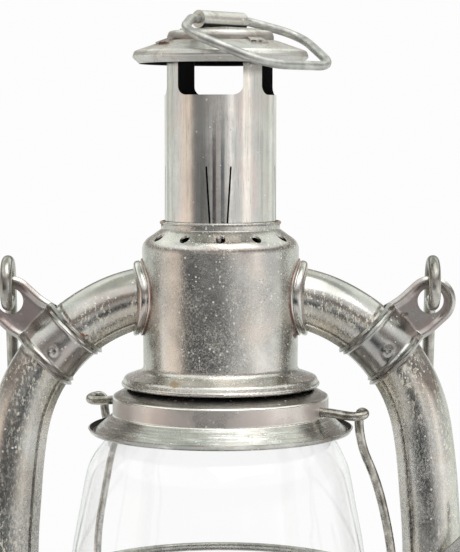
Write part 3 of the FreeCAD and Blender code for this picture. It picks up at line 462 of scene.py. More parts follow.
class Finish:
    """Colour, roughness and metal share of a surface while its layers are laid on."""

    def __init__(self, nodes, colour, rough, metal):
        self.nodes = nodes
        self.colour = colour
        self.rough = rough
        self.metal = metal

    def cover(self, mask, tone, rougher=0.0, duller=0.0):
        n = self.nodes
        self.colour = n.mix(mask, self.colour, tone)
        if rougher:
            self.rough = n.maths("ADD", self.rough, n.times(mask, rougher))
        if duller:
            self.metal = n.maths("SUBTRACT", self.metal, n.times(mask, duller))

    def apply(self):
        n = self.nodes
        n.set("Base Color", self.colour)
        n.set("Roughness", n.maths("MINIMUM", self.rough, 0.95))
        n.set("Metallic", n.maths("MAXIMUM", self.metal, 0.0))


def grain_masks(n, stipple, grain, clean_top):
    """Masks of the paler and the darker stipple. A grain gives the noise its own scale along each axis."""
    if grain:
        specks = n.noise(1.0, 3, 0.75, place=n.stretched(grain))
    else:
        specks = n.noise(grain_scale, 3, 0.75)
    where = n.ramp(n.noise(cover_scale, 4, 0.6), 0.38, 0.6, 0.5, 1.0)
    if clean_top:
        where = n.times(where, n.ramp(n.look[2], -0.1, 0.5, 1.0, 1.0 - clean_top))
    amount = n.times(where, stipple)
    paler = n.times(n.ramp(specks, 0.48, 0.64), amount)
    darker = n.times(n.ramp(specks, 0.30, 0.44, 1.0, 0.0), amount)
    return paler, darker


def dot_mask(n, stipple):
    """Mask of sparse round dots of several sizes, more of them with more stipple."""
    distance, choice, sizes = n.cells(dot_scale)
    picked = n.ramp(choice, 1 - 0.26 * stipple, 1 - 0.2 * stipple)
    size = n.ramp(sizes, 0, 1, 0.14, 0.46)
    near = n.maths("SUBTRACT", 1.0, n.maths("DIVIDE", distance, size))
    return n.times(picked, n.ramp(near, 0.0, 0.6))


def aged_tin(name, tones, stipple, layers, polish=0.2, grain=None, marks=(), clean_top=0.0):
    """Tinned sheet: cloudy greys with warm patches, stipple and white dots, then its own layers and marks."""
    n = Nodes(name)
    dark, light, warm = tones
    clouds = n.ramp(n.noise(cloud_scale, 5, 0.6), 0.36, 0.64)
    patches = n.ramp(n.noise(patch_scale, 4, 0.55, distortion=0.5), 0.48, 0.7)
    colour = n.mix(n.times(patches, patch_share), n.mix(clouds, dark, light), warm)
    paler, darker = grain_masks(n, stipple, grain, clean_top)
    dots = dot_mask(n, stipple)
    rough = n.ramp(n.noise(polish_scale, 5, 0.6), 0.3, 0.7, polish, polish + polish_spread)
    finish = Finish(n, colour, rough, n.maths("SUBTRACT", 1.0, n.times(paler, 0.18)))
    finish.cover(n.times(paler, pale_share), pale_grit, rougher=0.2)
    finish.cover(n.times(darker, pit_share), dark_pit, rougher=0.1)
    finish.cover(dots, white_dot, rougher=0.2, duller=0.75)
    layers(finish)
    for centre, reaches, tone in marks:
        finish.cover(n.spot(centre, reaches), tone, rougher=0.4, duller=0.8)
    finish.apply()
    height = n.maths("ADD", n.maths("SUBTRACT", paler, darker), n.times(dots, dot_rise))
    dents = n.noise(dent_scale, 3, 0.5)
    n.bump(n.maths("ADD", height, n.times(dents, dent_rise)), 0.5, film_depth)
    return n.made


def flake_layer(finish, grain, strips, share):
    """Cream flakes of the film, by the scales of their noise and of the patches where they lie."""
    n = finish.nodes
    flakes = n.ramp(n.noise(1.0, 3, 0.75, place=n.stretched(grain)), 0.53, 0.6)
    where = n.ramp(n.noise(1.0, 3, 0.6, place=n.stretched(strips)), 0.42, 0.56, 0.12, 0.9)
    finish.cover(n.times(flakes, n.times(where, share)), cream, rougher=0.25, duller=0.5)


def inner_layers(finish):
    """Dark deposit with painted shade on the faces that look towards the axis, where the hollows lie in
    shade.
    """
    # Painted shade with deposit: near-black on every face that looks towards the axis
    finish.cover(finish.nodes.inward(), inner_deposit_and_shade, rougher=0.6, duller=0.8)


def sheet_layers(finish):
    """Cream flakes outside, and dark deposit with painted shade inside."""
    flake_layer(finish, (1500, 1500, 1200), (60, 60, 45), 0.55)
    inner_layers(finish)


def collar_layers(finish):
    """Reddish brown line where a tube collar meets the chamber."""
    n = finish.nodes
    line = n.ramp(n.axis_distance(), (chamber_radius + 0.05) * MM, (chamber_radius + 0.4) * MM, 1.0, 0.0)
    patchy = n.ramp(n.noise(200, 4, 0.6), 0.3, 0.6, 0.45, 1.0)
    finish.cover(n.times(line, patchy), red_brown, rougher=0.3, duller=0.6)


def cap_layers(finish):
    """Dark blotched cone, pinkish cylinder and a streaked grey skirt on the globe cap, with pale painted
    highlight streaks on the skirt and painted highlight lines along the cylinder's top and bottom corners.
    """
    n = finish.nodes
    blotches = n.ramp(n.noise(1.0, 5, 0.65, place=n.hoops(110, 420)), 0.36, 0.58)
    cone = n.ramp(n.height, (cap_cylinder_top - 0.2) * MM, (cap_cylinder_top + 0.6) * MM)
    finish.cover(n.times(cone, n.ramp(blotches, 0, 1, 0.45, 0.9)), cone_dark, rougher=0.12)
    side = n.band(n.height, cap_cylinder_bottom + 0.6, cap_cylinder_top - 0.8, 0.5)
    pink = n.ramp(n.noise(70, 4, 0.6), 0.36, 0.6, 0.5, 0.95)
    finish.cover(n.times(side, pink), side_pink, rougher=0.15, duller=0.6)
    skirt = n.ramp(n.height, (cap_cylinder_bottom - 0.8) * MM, (cap_cylinder_bottom + 0.2) * MM, 1.0, 0.0)
    streaks = n.ramp(n.noise(1.0, 4, 0.6, place=n.hoops(60, 1500)), 0.38, 0.62)
    finish.cover(n.times(skirt, n.times(streaks, 0.7)), skirt_grey, rougher=0.1)
    # Painted highlights: pale streaks round the skirt where its slope catches the light
    pale = n.ramp(n.noise(1.0, 3, 0.6, place=n.hoops(90, 1100)), 0.52, 0.66, 0.0, 0.7)
    finish.cover(n.times(skirt, pale), skirt_highlight)
    # Painted highlights: pale lines along the top and bottom corners of the cap's cylinder, where the rounded
    # edges catch the light
    rim_highlights = n.maths("ADD", n.band(n.height, cap_cylinder_top - 0.35, cap_cylinder_top, 0.25),
                   n.band(n.height, cap_cylinder_bottom - 0.1, cap_cylinder_bottom + 0.3, 0.25))
    finish.cover(n.maths("MINIMUM", rim_highlights, 0.75), rim_highlight)
    inner_layers(finish)


def soot_and_shade_layers(finish):
    """Lamp black with painted shade on the inner faces of the chimney and on the faces under its hood, where
    they lie in shade.
    """
    n = finish.nodes
    # Painted shade with soot: near-black on faces looking down under the hood and on faces looking towards
    # the axis
    below = n.ramp(n.look[2], -0.6, -0.4, 1.0, 0.0)
    within = n.ramp(n.axis_distance(), hood_hollow_radius * MM, (hood_hollow_radius + 0.4) * MM, 1.0, 0.0)
    soot_and_shade = n.maths("MAXIMUM", n.inward(), n.times(below, within))
    finish.cover(soot_and_shade, soot_and_shade_black, rougher=0.8, duller=1.0)


def streaked_layers(finish):
    """Upright pinkish, greenish and fine brown streaks on the chimney tube, with soot and painted shade
    inside.
    """
    n = finish.nodes
    lines = n.noise(1.0, 4, 0.6, place=n.stretched((420, 420, 22)))
    finish.cover(n.ramp(lines, 0.52, 0.68, 0.0, 0.75), streak_pink)
    finish.cover(n.ramp(lines, 0.46, 0.32, 0.0, 0.6), streak_green)
    fine = n.noise(1.0, 3, 0.7, place=n.stretched((2300, 2300, 160)))
    finish.cover(n.ramp(fine, 0.55, 0.7, 0.0, 0.5), streak_brown, rougher=0.1)
    soot_and_shade_layers(finish)


def stained_layers(finish):
    """Brown stains on the hood, a dark ring of painted shade at the foot of its cap, and soot with painted
    shade inside.
    """
    n = finish.nodes
    stains = n.ramp(n.noise(110, 6, 0.7, distortion=0.8), 0.48, 0.64, 0.0, 0.75)
    finish.cover(stains, hood_stain, rougher=0.1)
    # Painted shade: a dark ring on the hood round the foot of its cap, where the cap and the ring barrel
    # shade it
    edge = n.band(n.axis_distance(), hood_cap_radius + 0.1, hood_cap_radius + 1.1, 0.5)
    finish.cover(n.times(edge, 0.65), hood_cap_foot_shade, rougher=0.2)
    soot_and_shade_layers(finish)


def grimy_layers(finish):
    """Brown grime on the side tubes beside the bands, cream flakes, and tan film on the undersides."""
    n = finish.nodes
    out, rise = n.from_centre(bend_centre())
    # A degree counts as a millimetre here, so that the mask's distances are degrees along the bend
    angle = n.times(n.maths("ARCTAN2", rise, out), MM * 180 / math.pi)
    lines = n.maths("ADD", n.band(angle, band_end + 1.0, band_end + 1.4, 0.5),
                    n.band(angle, band_start - 1.4, band_start - 1.0, 0.5))
    patchy = n.ramp(n.noise(240, 4, 0.6), 0.36, 0.6, 0.2, 0.9)
    finish.cover(n.times(n.maths("MINIMUM", lines, 1.0), patchy), grime, rougher=0.3, duller=0.5)
    flake_layer(finish, (1150, 1150, 480), (110, 110, 16), n.ramp(n.look[2], 0.25, 0.6, 1.0, 0.0))
    tan = n.ramp(n.noise(95, 4, 0.6), 0.45, 0.65, 0.0, 0.55)
    low = n.ramp(n.look[2], -0.5, 0.1, 1.0, 0.0)
    finish.cover(n.times(tan, low), tan_film, rougher=0.15)


def lever_layers(finish):
    """Painted shade: a dark border along the lever's slanted upper edge, where its thick edge lies in shadow.
    """
    n = finish.nodes
    beyond = n.maths("SUBTRACT", n.times(n.height, lever_up), n.times(n.across, lever_across))
    # Painted shade along the lever's upper edge
    border = n.ramp(beyond, lever_shade_border * MM, (lever_shade_border + 0.2) * MM)
    finish.cover(border, lever_edge_shade, rougher=0.2, duller=0.4)


def ear_layers(finish):
    """Brownish pink webs of the ears."""
    n = finish.nodes
    web_centre = bend_centre() + heading(math.radians(ear_angle)) * (ear_reach - 2.5)
    away = n.length(*n.from_centre(web_centre))
    web = n.times(n.band(away, 0, 6.5, 3.5), n.ramp(n.noise(160, 4, 0.6), 0.35, 0.6, 0.35, 0.95))
    finish.cover(web, web_pink, rougher=0.12, duller=0.15)


def plain_metal(name, dark, light, polish, clouds_scale=120):
    n = Nodes(name)
    clouds = n.ramp(n.noise(clouds_scale, 6, 0.6), 0.35, 0.68)
    n.set("Base Color", n.mix(clouds, dark, light))
    n.set("Metallic", 1.0)
    n.set("Roughness", n.ramp(n.noise(340, 4, 0.6), 0.3, 0.75, polish, polish + 0.2))
    n.bump(n.noise(1100, 4, 0.7), 0.25, wire_grain_depth)
    return n.made


def glass_material():
    made = material("globe_glass")
    sockets = made.node_tree.nodes["Principled BSDF"].inputs
    sockets["Base Color"].default_value = (0.995, 0.998, 0.996, 1)
    sockets["Roughness"].default_value = 0.012
    sockets["Transmission Weight"].default_value = 1.0
    sockets["IOR"].default_value = 1.38
    sockets["Specular IOR Level"].default_value = 0.3
    return made


def cloth_material():
    n = Nodes("wick_cotton")
    weave = n.noise(1.0, 2, 0.5, place=n.stretched((2600, 2600, 1500)))
    n.set("Base Color", n.mix(n.ramp(weave, 0.35, 0.65), (0.62, 0.55, 0.42), (0.86, 0.82, 0.72)))
    n.set("Roughness", 0.9)
    n.bump(weave, 0.6, soft_grain_depth)
    return n.made


def cork_material():
    n = Nodes("gasket_cork")
    grain = n.ramp(n.noise(700, 5, 0.7), 0.3, 0.7)
    n.set("Base Color", n.mix(grain, (0.3, 0.17, 0.08), (0.62, 0.43, 0.25)))
    n.set("Roughness", 0.85)
    n.bump(grain, 0.5, soft_grain_depth)
    return n.made


tin = aged_tin("tin", sheet_tones, 1.0, sheet_layers, 0.13, marks=chamber_marks)
cap_tin = aged_tin("cap_tin", cap_tones, 0.6, cap_layers, 0.15)
collar_tin = aged_tin("collar_tin", cap_tones, 0.4, collar_layers, 0.17)
tube_tin = aged_tin("tube_tin", tube_tones, 1.0, grimy_layers, 0.15, grain=(1700, 1700, 800),
                    marks=tube_marks, clean_top=0.85)
lever_tin = aged_tin("lever_tin", lever_tones, 0.5, lever_layers)
strap_tin = aged_tin("strap_tin", strap_tones, 0.3, ear_layers, 0.18, marks=strap_marks)
hood_tin = aged_tin("hood_tin", hood_tones, 0.55, stained_layers, 0.36, marks=tab_shadow_and_rust_marks)
chimney_tin = aged_tin("chimney_tin", chimney_tones, 0.12, streaked_layers, 0.17, grain=(1600, 1600, 90),
                       marks=tab_shadow_and_rust_marks)
wire_metal = plain_metal("wire_metal", (0.27, 0.26, 0.235), (0.56, 0.545, 0.50), 0.2)
guard_metal = plain_metal("guard_metal", (0.26, 0.245, 0.215), (0.58, 0.56, 0.51), 0.16, 300)
pull_metal = plain_metal("pull_metal", (0.40, 0.402, 0.385), (0.60, 0.598, 0.565), 0.38, 260)
brass = plain_metal("brass", (0.36, 0.26, 0.10), (0.66, 0.51, 0.25), 0.25)
steel = plain_metal("steel", (0.22, 0.215, 0.21), (0.46, 0.45, 0.44), 0.3)
slot_materials = {
    "tinned_sheet": tin,
    "tinned_wire": wire_metal,
    "chimney_sheet": chimney_tin,
    "burner_brass": brass,
    "winder_steel": steel,
    "globe_glass": glass_material(),
    "wick_cotton": cloth_material(),
    "gasket_cork": cork_material(),
}
node_materials = {
    "globe_cap": cap_tin,
    "hood": hood_tin,
    "hood_cap": hood_tin,
    "ring_barrel": hood_tin,
    "lift_ring": pull_metal,
    "guard_wire": guard_metal,
    "lift_lever": lever_tin,
}


def dress_nodes():
    for row in frame["record"]["subparts"]:
        mesh = frame["nodes"][row["node"]].data
        mesh.materials.clear()
        mesh.materials.append(node_materials.get(row["node"], slot_materials[row["material_slot"]]))


def smooth_by_angle(mesh, limit=32.0):
    """Smooth shading, with edges sharper than the limit kept crisp."""
    work = bmesh.new()
    work.from_mesh(mesh)
    for face in work.faces:
        face.smooth = True
    for edge in work.edges:
        if len(edge.link_faces) == 2:
            edge.smooth = edge.calc_face_angle(0.0) < math.radians(limit)
    work.to_mesh(mesh)
    work.free()


def placed(name, data):
    """New object in the scene that holds a mesh, a lamp or a camera."""
    holder = bpy.data.objects.new(name, data)
    bpy.context.scene.collection.objects.link(holder)
    return holder


def piece(name, shape, body, look, replaces):
    """One visible piece, which rides on a body and stands for nodes of the solids."""
    mesh = bpy.data.meshes.new(name)
    mesh.from_pydata([point * MM for point in shape.points], [], shape.faces)
    work = bmesh.new()
    work.from_mesh(mesh)
    bmesh.ops.recalc_face_normals(work, faces=work.faces)
    work.to_mesh(mesh)
    work.free()
    smooth_by_angle(mesh)
    mesh.materials.append(look)
    holder = placed(name, mesh)
    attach(holder, body)
    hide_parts(*replaces)


def pair(shape, look, right, left):
    """The right piece and its mirror image. Each side is given by its name and the node it stands for."""
    for made, (name, node) in ((shape, right), (shape.mirrored(), left)):
        piece(name, made, "root", look, [node])


class Shape:
    """Points and faces of several closed skins, gathered for one piece."""

    def __init__(self):
        self.points = []
        self.faces = []

    def add(self, points, faces):
        start = len(self.points)
        self.points += [Vector(point) for point in points]
        self.faces += [tuple(start + i for i in face) for face in faces]

    def rings(self, rings):
        """Closed skin over rings of equal count, each joined to the next and the last to the first."""
        count = len(rings[0])
        points = [point for ring in rings for point in ring]
        faces = []
        for i in range(len(rings)):
            here = i * count
            there = (i + 1) % len(rings) * count
            for j in range(count):
                k = (j + 1) % count
                faces.append((here + j, here + k, there + k, there + j))
        self.add(points, faces)

    def mirrored(self):
        flipped = Shape()
        flipped.add([Vector((-p.x, p.y, p.z)) for p in self.points], self.faces)
        return flipped

    def dented(self, amount, size):
        """Slightly uneven surface, as of hand-worked sheet. The unevenness is fixed in place."""
        for point in self.points:
            push = Vector([noise.noise(point / size + shift) for shift in dent_shifts])
            point += push * amount


def tube_line():
    """Points of the right tube's axis from the drum to the chamber, each with its outward way."""
    stations = []

    def arc_points(centre, radius, start, end):
        count = max(2, int(abs(end - start) * radius / tube_step))
        for i in range(count):
            way = heading(start + (end - start) * i / count)
            stations.append((centre + way * radius, way))

    def straight_points(start, end, outward):
        count = max(2, int((end - start).length / tube_step))
        for i in range(count):
            stations.append((start.lerp(end, i / count), outward))

    low_centre = Vector((tube_spread - lower_bend, 0, tube_low + lower_bend))
    shoulder_centre = bend_centre()
    lean = math.radians(flank_angle)
    shoulder = shoulder_centre + heading(lean) * upper_bend
    flank_centre = shoulder - heading(lean) * flank_bend
    out = Vector((1, 0, 0))
    straight_points(Vector((tube_start, 0, tube_low)), low_centre - UP * lower_bend, UP * -1)
    arc_points(low_centre, lower_bend, -math.pi / 2, 0)
    straight_points(low_centre + out * lower_bend, flank_centre + out * flank_bend, out)
    arc_points(flank_centre, flank_bend, 0, lean)
    last = math.acos((tube_entry_x - shoulder_centre.x) / upper_bend)
    arc_points(shoulder_centre, upper_bend, lean, last)
    stations.append((shoulder_centre + heading(last) * upper_bend, heading(last)))
    return stations


def tube_section():
    """Turn in degrees from the front towards the lantern, with the radius there, round the tube."""
    seam_low = seam_angle - seam_half
    seam_high = seam_angle + seam_half
    raised = tube_radius + seam_rise
    groove = tube_radius - seam_groove
    # A groove beside the seam, the seam's steep edge, its raised face and its soft edge
    section = [(seam_low - 5.5, tube_radius), (seam_low - 3.6, groove), (seam_low - 1.3, groove)]
    section += [(seam_low - 0.2, raised - 0.12), (seam_low + 1.6, raised), (seam_high - 2, raised)]
    section += [(seam_high - 0.3, raised - 0.15), (seam_high + 0.8, tube_radius)]
    turn = seam_high + section_step
    while turn < seam_low - section_gap + 360:
        section.append((turn, tube_radius))
        turn += section_step
    return section


def side_tubes():
    """Hollow tubes with the folded seam along their inner front."""
    outer_rings = []
    inner_rings = []
    front = Vector((0, -1, 0))
    section = tube_section()
    for point, outward in tube_line():
        outer_rings.append([])
        inner_rings.append([])
        for turn_degrees, radius in section:
            turn = math.radians(turn_degrees)
            way = front * math.cos(turn) - outward * math.sin(turn)
            outer_rings[-1].append(point + way * radius)
            inner_rings[-1].append(point + way * (tube_radius - tube_wall))
    shape = Shape()
    shape.rings(outer_rings + inner_rings[::-1])
    shape.dented(tube_dent, tube_dent_size)
    pair(shape, tube_tin, ("right_tube_skin", "right_tube"), ("left_tube_skin", "left_tube"))


def tube_collars():
    """Saddle rings round the tubes' upper ends, shaped to the chamber's wall."""
    centre = bend_centre()
    rise = math.sqrt(upper_bend ** 2 - (chamber_radius - centre.x) ** 2)
    slope = (chamber_radius - centre.x) / rise
    # Each entry holds the collar's radius and how far it stands off the chamber there
    profile = [(tube_radius - 0.3, -0.2), (collar_radius, -0.2), (collar_radius, 0.35)]
    profile += [(collar_radius - 0.2, 0.5), (collar_radius - 0.75, 0.6), (collar_radius - 0.75, 0.85)]
    profile += [(collar_radius - 0.5, 1.05), (collar_radius - 0.4, 1.3), (collar_radius - 0.4, 2.2)]
    profile += [(collar_radius - 0.6, 2.6), (collar_radius - 1.1, 2.9), (tube_radius - 0.3, 3.0)]
    rings = []
    for radius, gap in profile:
        rings.append([])
        for i in range(collar_steps):
            turn = 2 * math.pi * i / collar_steps
            side = radius * math.sin(turn)
            out = math.sqrt((chamber_radius + gap) ** 2 - side ** 2)
            axis = centre.z + rise - (out - chamber_radius) * slope
            rings[-1].append(Vector((out, side, axis + radius * math.cos(turn))))
    shape = Shape()
    shape.rings(rings)
    pair(shape, collar_tin, ("right_collar_ring", "right_upper_collar"),
         ("left_collar_ring", "left_upper_collar"))


def smooth_step(low, high, value):
    share = min(max((value - low) / (high - low), 0), 1)
    return share * share * (3 - 2 * share)


def hump(value, height, centre, half):
    return height * math.exp(-((value - centre) / half) ** 2)


def strap_point(outward, front, across):
    """Point of a bail strap, by its distances from the tube's axis outward, to the front and across."""
    share = smooth_step(flat_from, flat_full, outward)
    turn = math.radians((band_start + band_end) / 2 * (1 - share) + ear_angle * share)
    reach = upper_bend + outward
    round_place = heading(turn + across / reach) * reach
    flat_place = heading(turn) * reach + Vector((-math.sin(turn), 0, math.cos(turn))) * across
    return bend_centre() + round_place.lerp(flat_place, share) - Vector((0, front, 0))


def strap_path():
    """Face line of one half strap: round the tube from its inner side, then down to the ear's flat web.
    Each entry holds the outward and front distances, and the way that the face looks."""
    face = tube_radius + band_wall
    span = math.hypot(ear_crease, band_wall)
    leave = math.acos(face / span) + math.atan2(band_wall, ear_crease)
    path = []
    for i in range(strap_round_steps + 1):
        turn = math.pi - (math.pi - leave) * i / strap_round_steps
        path.append((face * math.cos(turn), face * math.sin(turn), math.cos(turn), math.sin(turn)))
    slope = math.pi / 2 - leave
    cut = crease_round * math.tan(slope / 2)
    down = Vector((math.sin(leave), -math.cos(leave)))
    start = Vector((face * math.cos(leave), face * math.sin(leave)))
    corner = Vector((ear_crease, band_wall))
    entry = corner - down * cut
    for i in range(1, web_steps):
        point = start.lerp(entry, i / web_steps)
        path.append((point.x, point.y, math.cos(leave), math.sin(leave)))
    centre = Vector((ear_crease + cut, band_wall + crease_round))
    for i in range(crease_steps + 1):
        turn = slope * (1 - i / crease_steps)
        path.append((centre.x - crease_round * math.sin(turn), centre.y - crease_round * math.cos(turn),
                     math.sin(turn), math.cos(turn)))
    return path


def strap_relief(inset, outward, front, across):
    """Height of the pressed relief: double beads on the tube that run on as one rim round the ear, and the
    round mark of a weld on the front."""
    on_ear = smooth_step(rim_from, rim_full, outward)
    beads = hump(inset, *first_bead) + hump(inset, *second_bead)
    rim = hump(inset, rim_height, rim_width * 0.45, rim_width * 0.42)
    height = beads * (1 - on_ear) + rim * on_ear
    if front > tube_radius / 2:
        away = math.hypot(outward - weld_reach, across - weld_across)
        height += sum(hump(away, *ring) for ring in weld_rings)
    return height


def strap_columns():
    """Places across the strap, closer together beside its edges, where the beads are."""
    middle = ear_radius - strap_insets[-1]
    columns = [inset - ear_radius for inset in strap_insets]
    columns += [-middle + 2 * middle * i / strap_middle_steps for i in range(1, strap_middle_steps)]
    return columns + [ear_radius - inset for inset in reversed(strap_insets)]


def ear_border(last, eye, columns):
    """Outline of the ear's flat, outward and across, from the strap's last row round the eye and back."""
    border = [(last, across) for across in columns]
    border += [(last + (eye - last) * i / ear_side_steps, ear_radius) for i in range(1, ear_side_steps)]
    for i in range(ear_bow_steps + 1):
        turn = math.pi / 2 - math.pi * i / ear_bow_steps
        border.append((eye + ear_radius * math.cos(turn), ear_radius * math.sin(turn)))
    border += [(eye + (last - eye) * i / ear_side_steps, -ear_radius) for i in range(1, ear_side_steps)]
    return border


def thick_skin(points, inner, faces):
    """Closed skin of a sheet, from the points of its two faces and the first one's polygons."""
    count = len(points)
    skin = faces + [tuple(reversed([index + count for index in face])) for face in faces]
    edges = dict.fromkeys((a, b) for face in faces for a, b in zip(face, face[1:] + face[:1]))
    skin += [(b, a, a + count, b + count) for a, b in edges if (b, a) not in edges]
    return points + inner, skin


def strap_half(side):
    """Front or back half of the right strap with its ear, as one closed skin."""
    columns = strap_columns()
    path = strap_path()
    points = []
    inner = []

    def add(outward, front, look_out, look_front, across, inset):
        rise = strap_relief(inset, outward, front, across)
        under = band_wall - wall_slack
        points.append(strap_point(outward + look_out * rise, (front + look_front * rise) * side, across))
        inner.append(strap_point(outward - look_out * under, (front - look_front * under) * side, across))
        return len(points) - 1

    rows = []
    for outward, front, look_out, look_front in path:
        rows.append([add(outward, front, look_out, look_front, across, ear_radius - abs(across))
                     for across in columns])
    eye = ear_reach - upper_bend
    spokes = []
    for number, (outward, across) in enumerate(ear_border(path[-1][0], eye, columns)):
        rim = Vector((outward - eye, across)).normalized() * ear_hole
        spoke = [rows[-1][number]] if number < len(columns) else []
        for k in range(len(spoke), ear_depth_steps + 1):
            share = (k / ear_depth_steps) ** ear_crowding
            out = outward + (eye + rim.x - outward) * share
            beside = across + (rim.y - across) * share
            inset = ear_radius - (abs(beside) if out < eye else math.hypot(out - eye, beside))
            spoke.append(add(out, band_wall, 0, 1, beside, inset))
        spokes.append(spoke)
    faces = []
    for row, after in zip(rows, rows[1:]):
        faces += [(row[j], row[j + 1], after[j + 1], after[j]) for j in range(len(row) - 1)]
    for spoke, after in zip(spokes, spokes[1:] + spokes[:1]):
        faces += [(spoke[k], after[k], after[k + 1], spoke[k + 1]) for k in range(ear_depth_steps)]
    return thick_skin(points, inner, faces)


def bail_straps():
    shape = Shape()
    for side in (1, -1):
        shape.add(*strap_half(side))
    pair(shape, strap_tin, ("right_bail_strap", "right_bail_band"), ("left_bail_strap", "left_bail_band"))


def line_through(points, steps):
    """Smooth line through points, with each span cut into the same count of steps."""
    line = []
    ends = [points[0]] + points + [points[-1]]
    for before, start, end, after in zip(ends, ends[1:], ends[2:], ends[3:]):
        for i in range(steps):
            share = i / steps
            first = (end - before) * 0.5
            last = (after - start) * 0.5
            cube = share ** 3
            square = share ** 2
            point = start * (2 * cube - 3 * square + 1) + first * (cube - 2 * square + share)
            line.append(point + end * (3 * square - 2 * cube) + last * (cube - square))
    return line + [points[-1]]


def thin_globe():
    """Blown glass with a thin, slightly uneven wall. Its two ends stay true to the seats."""
    outer = line_through([Vector((radius, rise)) for radius, rise in globe_line], globe_line_steps)
    inner = []
    for i, point in enumerate(outer):
        way = (outer[min(i + 1, len(outer) - 1)] - outer[max(i - 1, 0)]).normalized()
        inner.append(point + Vector((-way.y, way.x)) * glass_wall)
    inner[0].y = outer[0].y
    inner[-1].y = outer[-1].y
    turns = [2 * math.pi * j / globe_sides for j in range(globe_sides)]
    ways = [(math.cos(turn), math.sin(turn)) for turn in turns]
    rings = []
    for radius, rise in outer + inner[::-1]:
        rings.append([Vector((radius * x, radius * y, globe_bottom + rise)) for x, y in ways])
    shape = Shape()
    shape.rings(rings)
    for point in shape.points:
        share = smooth_step(globe_bottom + lower_seat, globe_bottom + lower_free, point.z)
        share *= 1 - smooth_step(globe_top - upper_free, globe_top - upper_seat, point.z)
        wave = noise.noise(Vector((point.x, point.y, point.z * 0.5)) / glass_wave_size)
        away = Vector((point.x, point.y, 0)).normalized()
        point += away * (wave * glass_wave * share) - Vector((globe_shift * share, 0, 0))
    piece("globe_glass_skin", shape, "globe_carriage", slot_materials["globe_glass"],
          ["globe"])


def camera():
    made = bpy.data.cameras.new("camera")
    made.sensor_width = sensor_side
    made.lens = focal_pixels / image_height * sensor_side
    made.clip_start = nearest_view
    made.clip_end = farthest_view
    holder = placed("camera", made)
    pitch = math.atan((image_centre_y - horizon_pixel) / focal_pixels)
    yaw = math.atan((image_centre_x - axis_pixel) / focal_pixels)
    holder.location = (0, -camera_distance * MM, camera_height * MM)
    holder.rotation_euler = (math.pi / 2 - pitch, 0, -yaw)
    bpy.context.scene.camera = holder


def strip_shades(tree, share, strips):
    """Colour of the studio's wall all round, from a list of strips."""
    bands = tree.add("ShaderNodeValToRGB")
    stops = bands.color_ramp.elements
    stops.remove(stops[1])
    first_level = strips[0][1]
    stops[0].position = 0
    stops[0].color = (first_level, first_level, first_level, 1)
    for angle, level, *warmth in strips:
        warm = strip_warmth * sum(warmth)
        green = back_green if abs(angle) >= back_from else 0.0
        stop = stops.new((angle + 180) / 360)
        stop.color = (level * (1 - green), level * (1 - warm), level * (1 - blue_loss * warm - green), 1)
    tree.link(share, bands.inputs["Fac"])
    return bands.outputs["Color"]


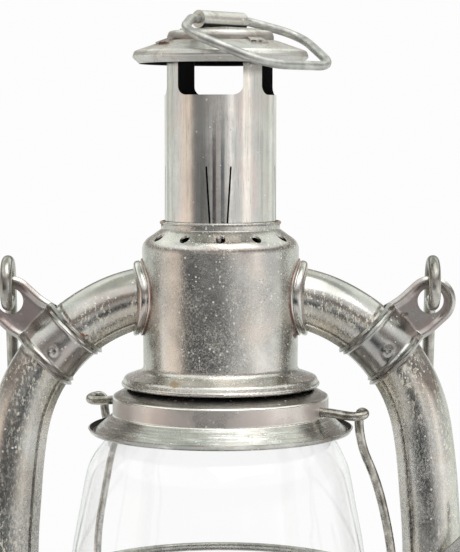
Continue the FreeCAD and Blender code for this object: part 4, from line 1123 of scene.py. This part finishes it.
def studio_world():
    """White where seen straight on or through glass, and a studio with darker strips where mirrored."""
    world = bpy.data.worlds.new("studio")
    bpy.context.scene.world = world
    world.use_nodes = True
    tree = Tree(world.node_tree)
    tree.tree.nodes.clear()
    across, depth, rise = tree.split(tree.add("ShaderNodeTexCoord").outputs["Generated"])
    turn = tree.maths("ARCTAN2", across, tree.times(depth, -1.0))
    share = tree.ramp(turn, -math.pi, math.pi, kind="LINEAR")
    mirrored = tree.mix(tree.ramp(rise, *low_to_level), strip_shades(tree, share, low_strips),
                        strip_shades(tree, share, level_strips))
    mirrored = tree.mix(tree.ramp(rise, *ground_to_low), ground_shade, mirrored)
    mirrored = tree.mix(tree.ramp(rise, *level_to_dusk), mirrored, dusk_shade)
    mirrored = tree.mix(tree.ramp(rise, *dusk_to_high), mirrored, strip_shades(tree, share, high_strips))
    mirrored = tree.mix(tree.ramp(rise, *high_to_ceiling), mirrored, ceiling_shade)
    lit = tree.mix(tree.rays("Is Glossy Ray"), diffuse_shade, mirrored)
    seen = tree.rays("Is Camera Ray", "Is Transmission Ray")
    background = tree.add("ShaderNodeBackground")
    tree.link(tree.mix(seen, lit, backdrop_white), background.inputs["Color"])
    tree.link(background.outputs[0], tree.add("ShaderNodeOutputWorld").inputs["Surface"])


def floor():
    """Round pale floor that keeps the lantern's shadow near it and fades into the white background."""
    mesh = bpy.data.meshes.new("floor")
    work = bmesh.new()
    bmesh.ops.create_circle(work, cap_ends=True, segments=floor_sides, radius=floor_radius)
    work.to_mesh(mesh)
    work.free()
    holder = placed("floor", mesh)
    holder.location.z = -floor_drop
    made = material("floor")
    tree = Tree(made.node_tree)
    tree.tree.nodes.clear()
    pale = tree.add("ShaderNodeBsdfDiffuse")
    tree.feed(pale.inputs["Color"], floor_pale)
    glow = tree.add("ShaderNodeEmission")
    tree.feed(glow.inputs["Color"], backdrop_white)
    seen = tree.rays("Is Camera Ray", "Is Transmission Ray", "Is Glossy Ray")
    away = tree.add("ShaderNodeVectorMath", operation="LENGTH")
    tree.link(tree.add("ShaderNodeTexCoord").outputs["Object"], away.inputs[0])
    edge = tree.ramp(away.outputs["Value"], floor_radius * fade_start, floor_radius * fade_end, white_near)
    mixed = tree.add("ShaderNodeMixShader")
    tree.link(tree.times(seen, edge), mixed.inputs[0])
    tree.link(pale.outputs[0], mixed.inputs[1])
    tree.link(glow.outputs[0], mixed.inputs[2])
    tree.link(mixed.outputs[0], tree.add("ShaderNodeOutputMaterial").inputs["Surface"])
    mesh.materials.append(made)


def top_lamp():
    """Soft square lamp high in front, a little to the right."""
    made = bpy.data.lights.new("top_lamp", "AREA")
    made.shape = "RECTANGLE"
    made.size = lamp_side
    made.size_y = lamp_side
    made.energy = lamp_power
    holder = placed("top_lamp", made)
    holder.location = lamp_place
    holder.rotation_euler = (lamp_aim - lamp_place).to_track_quat("-Z", "Y").to_euler()


dress_nodes()
side_tubes()
tube_collars()
bail_straps()
thin_globe()
camera()
studio_world()
floor()
top_lamp()
bpy.context.scene.view_settings.view_transform = "Standard"
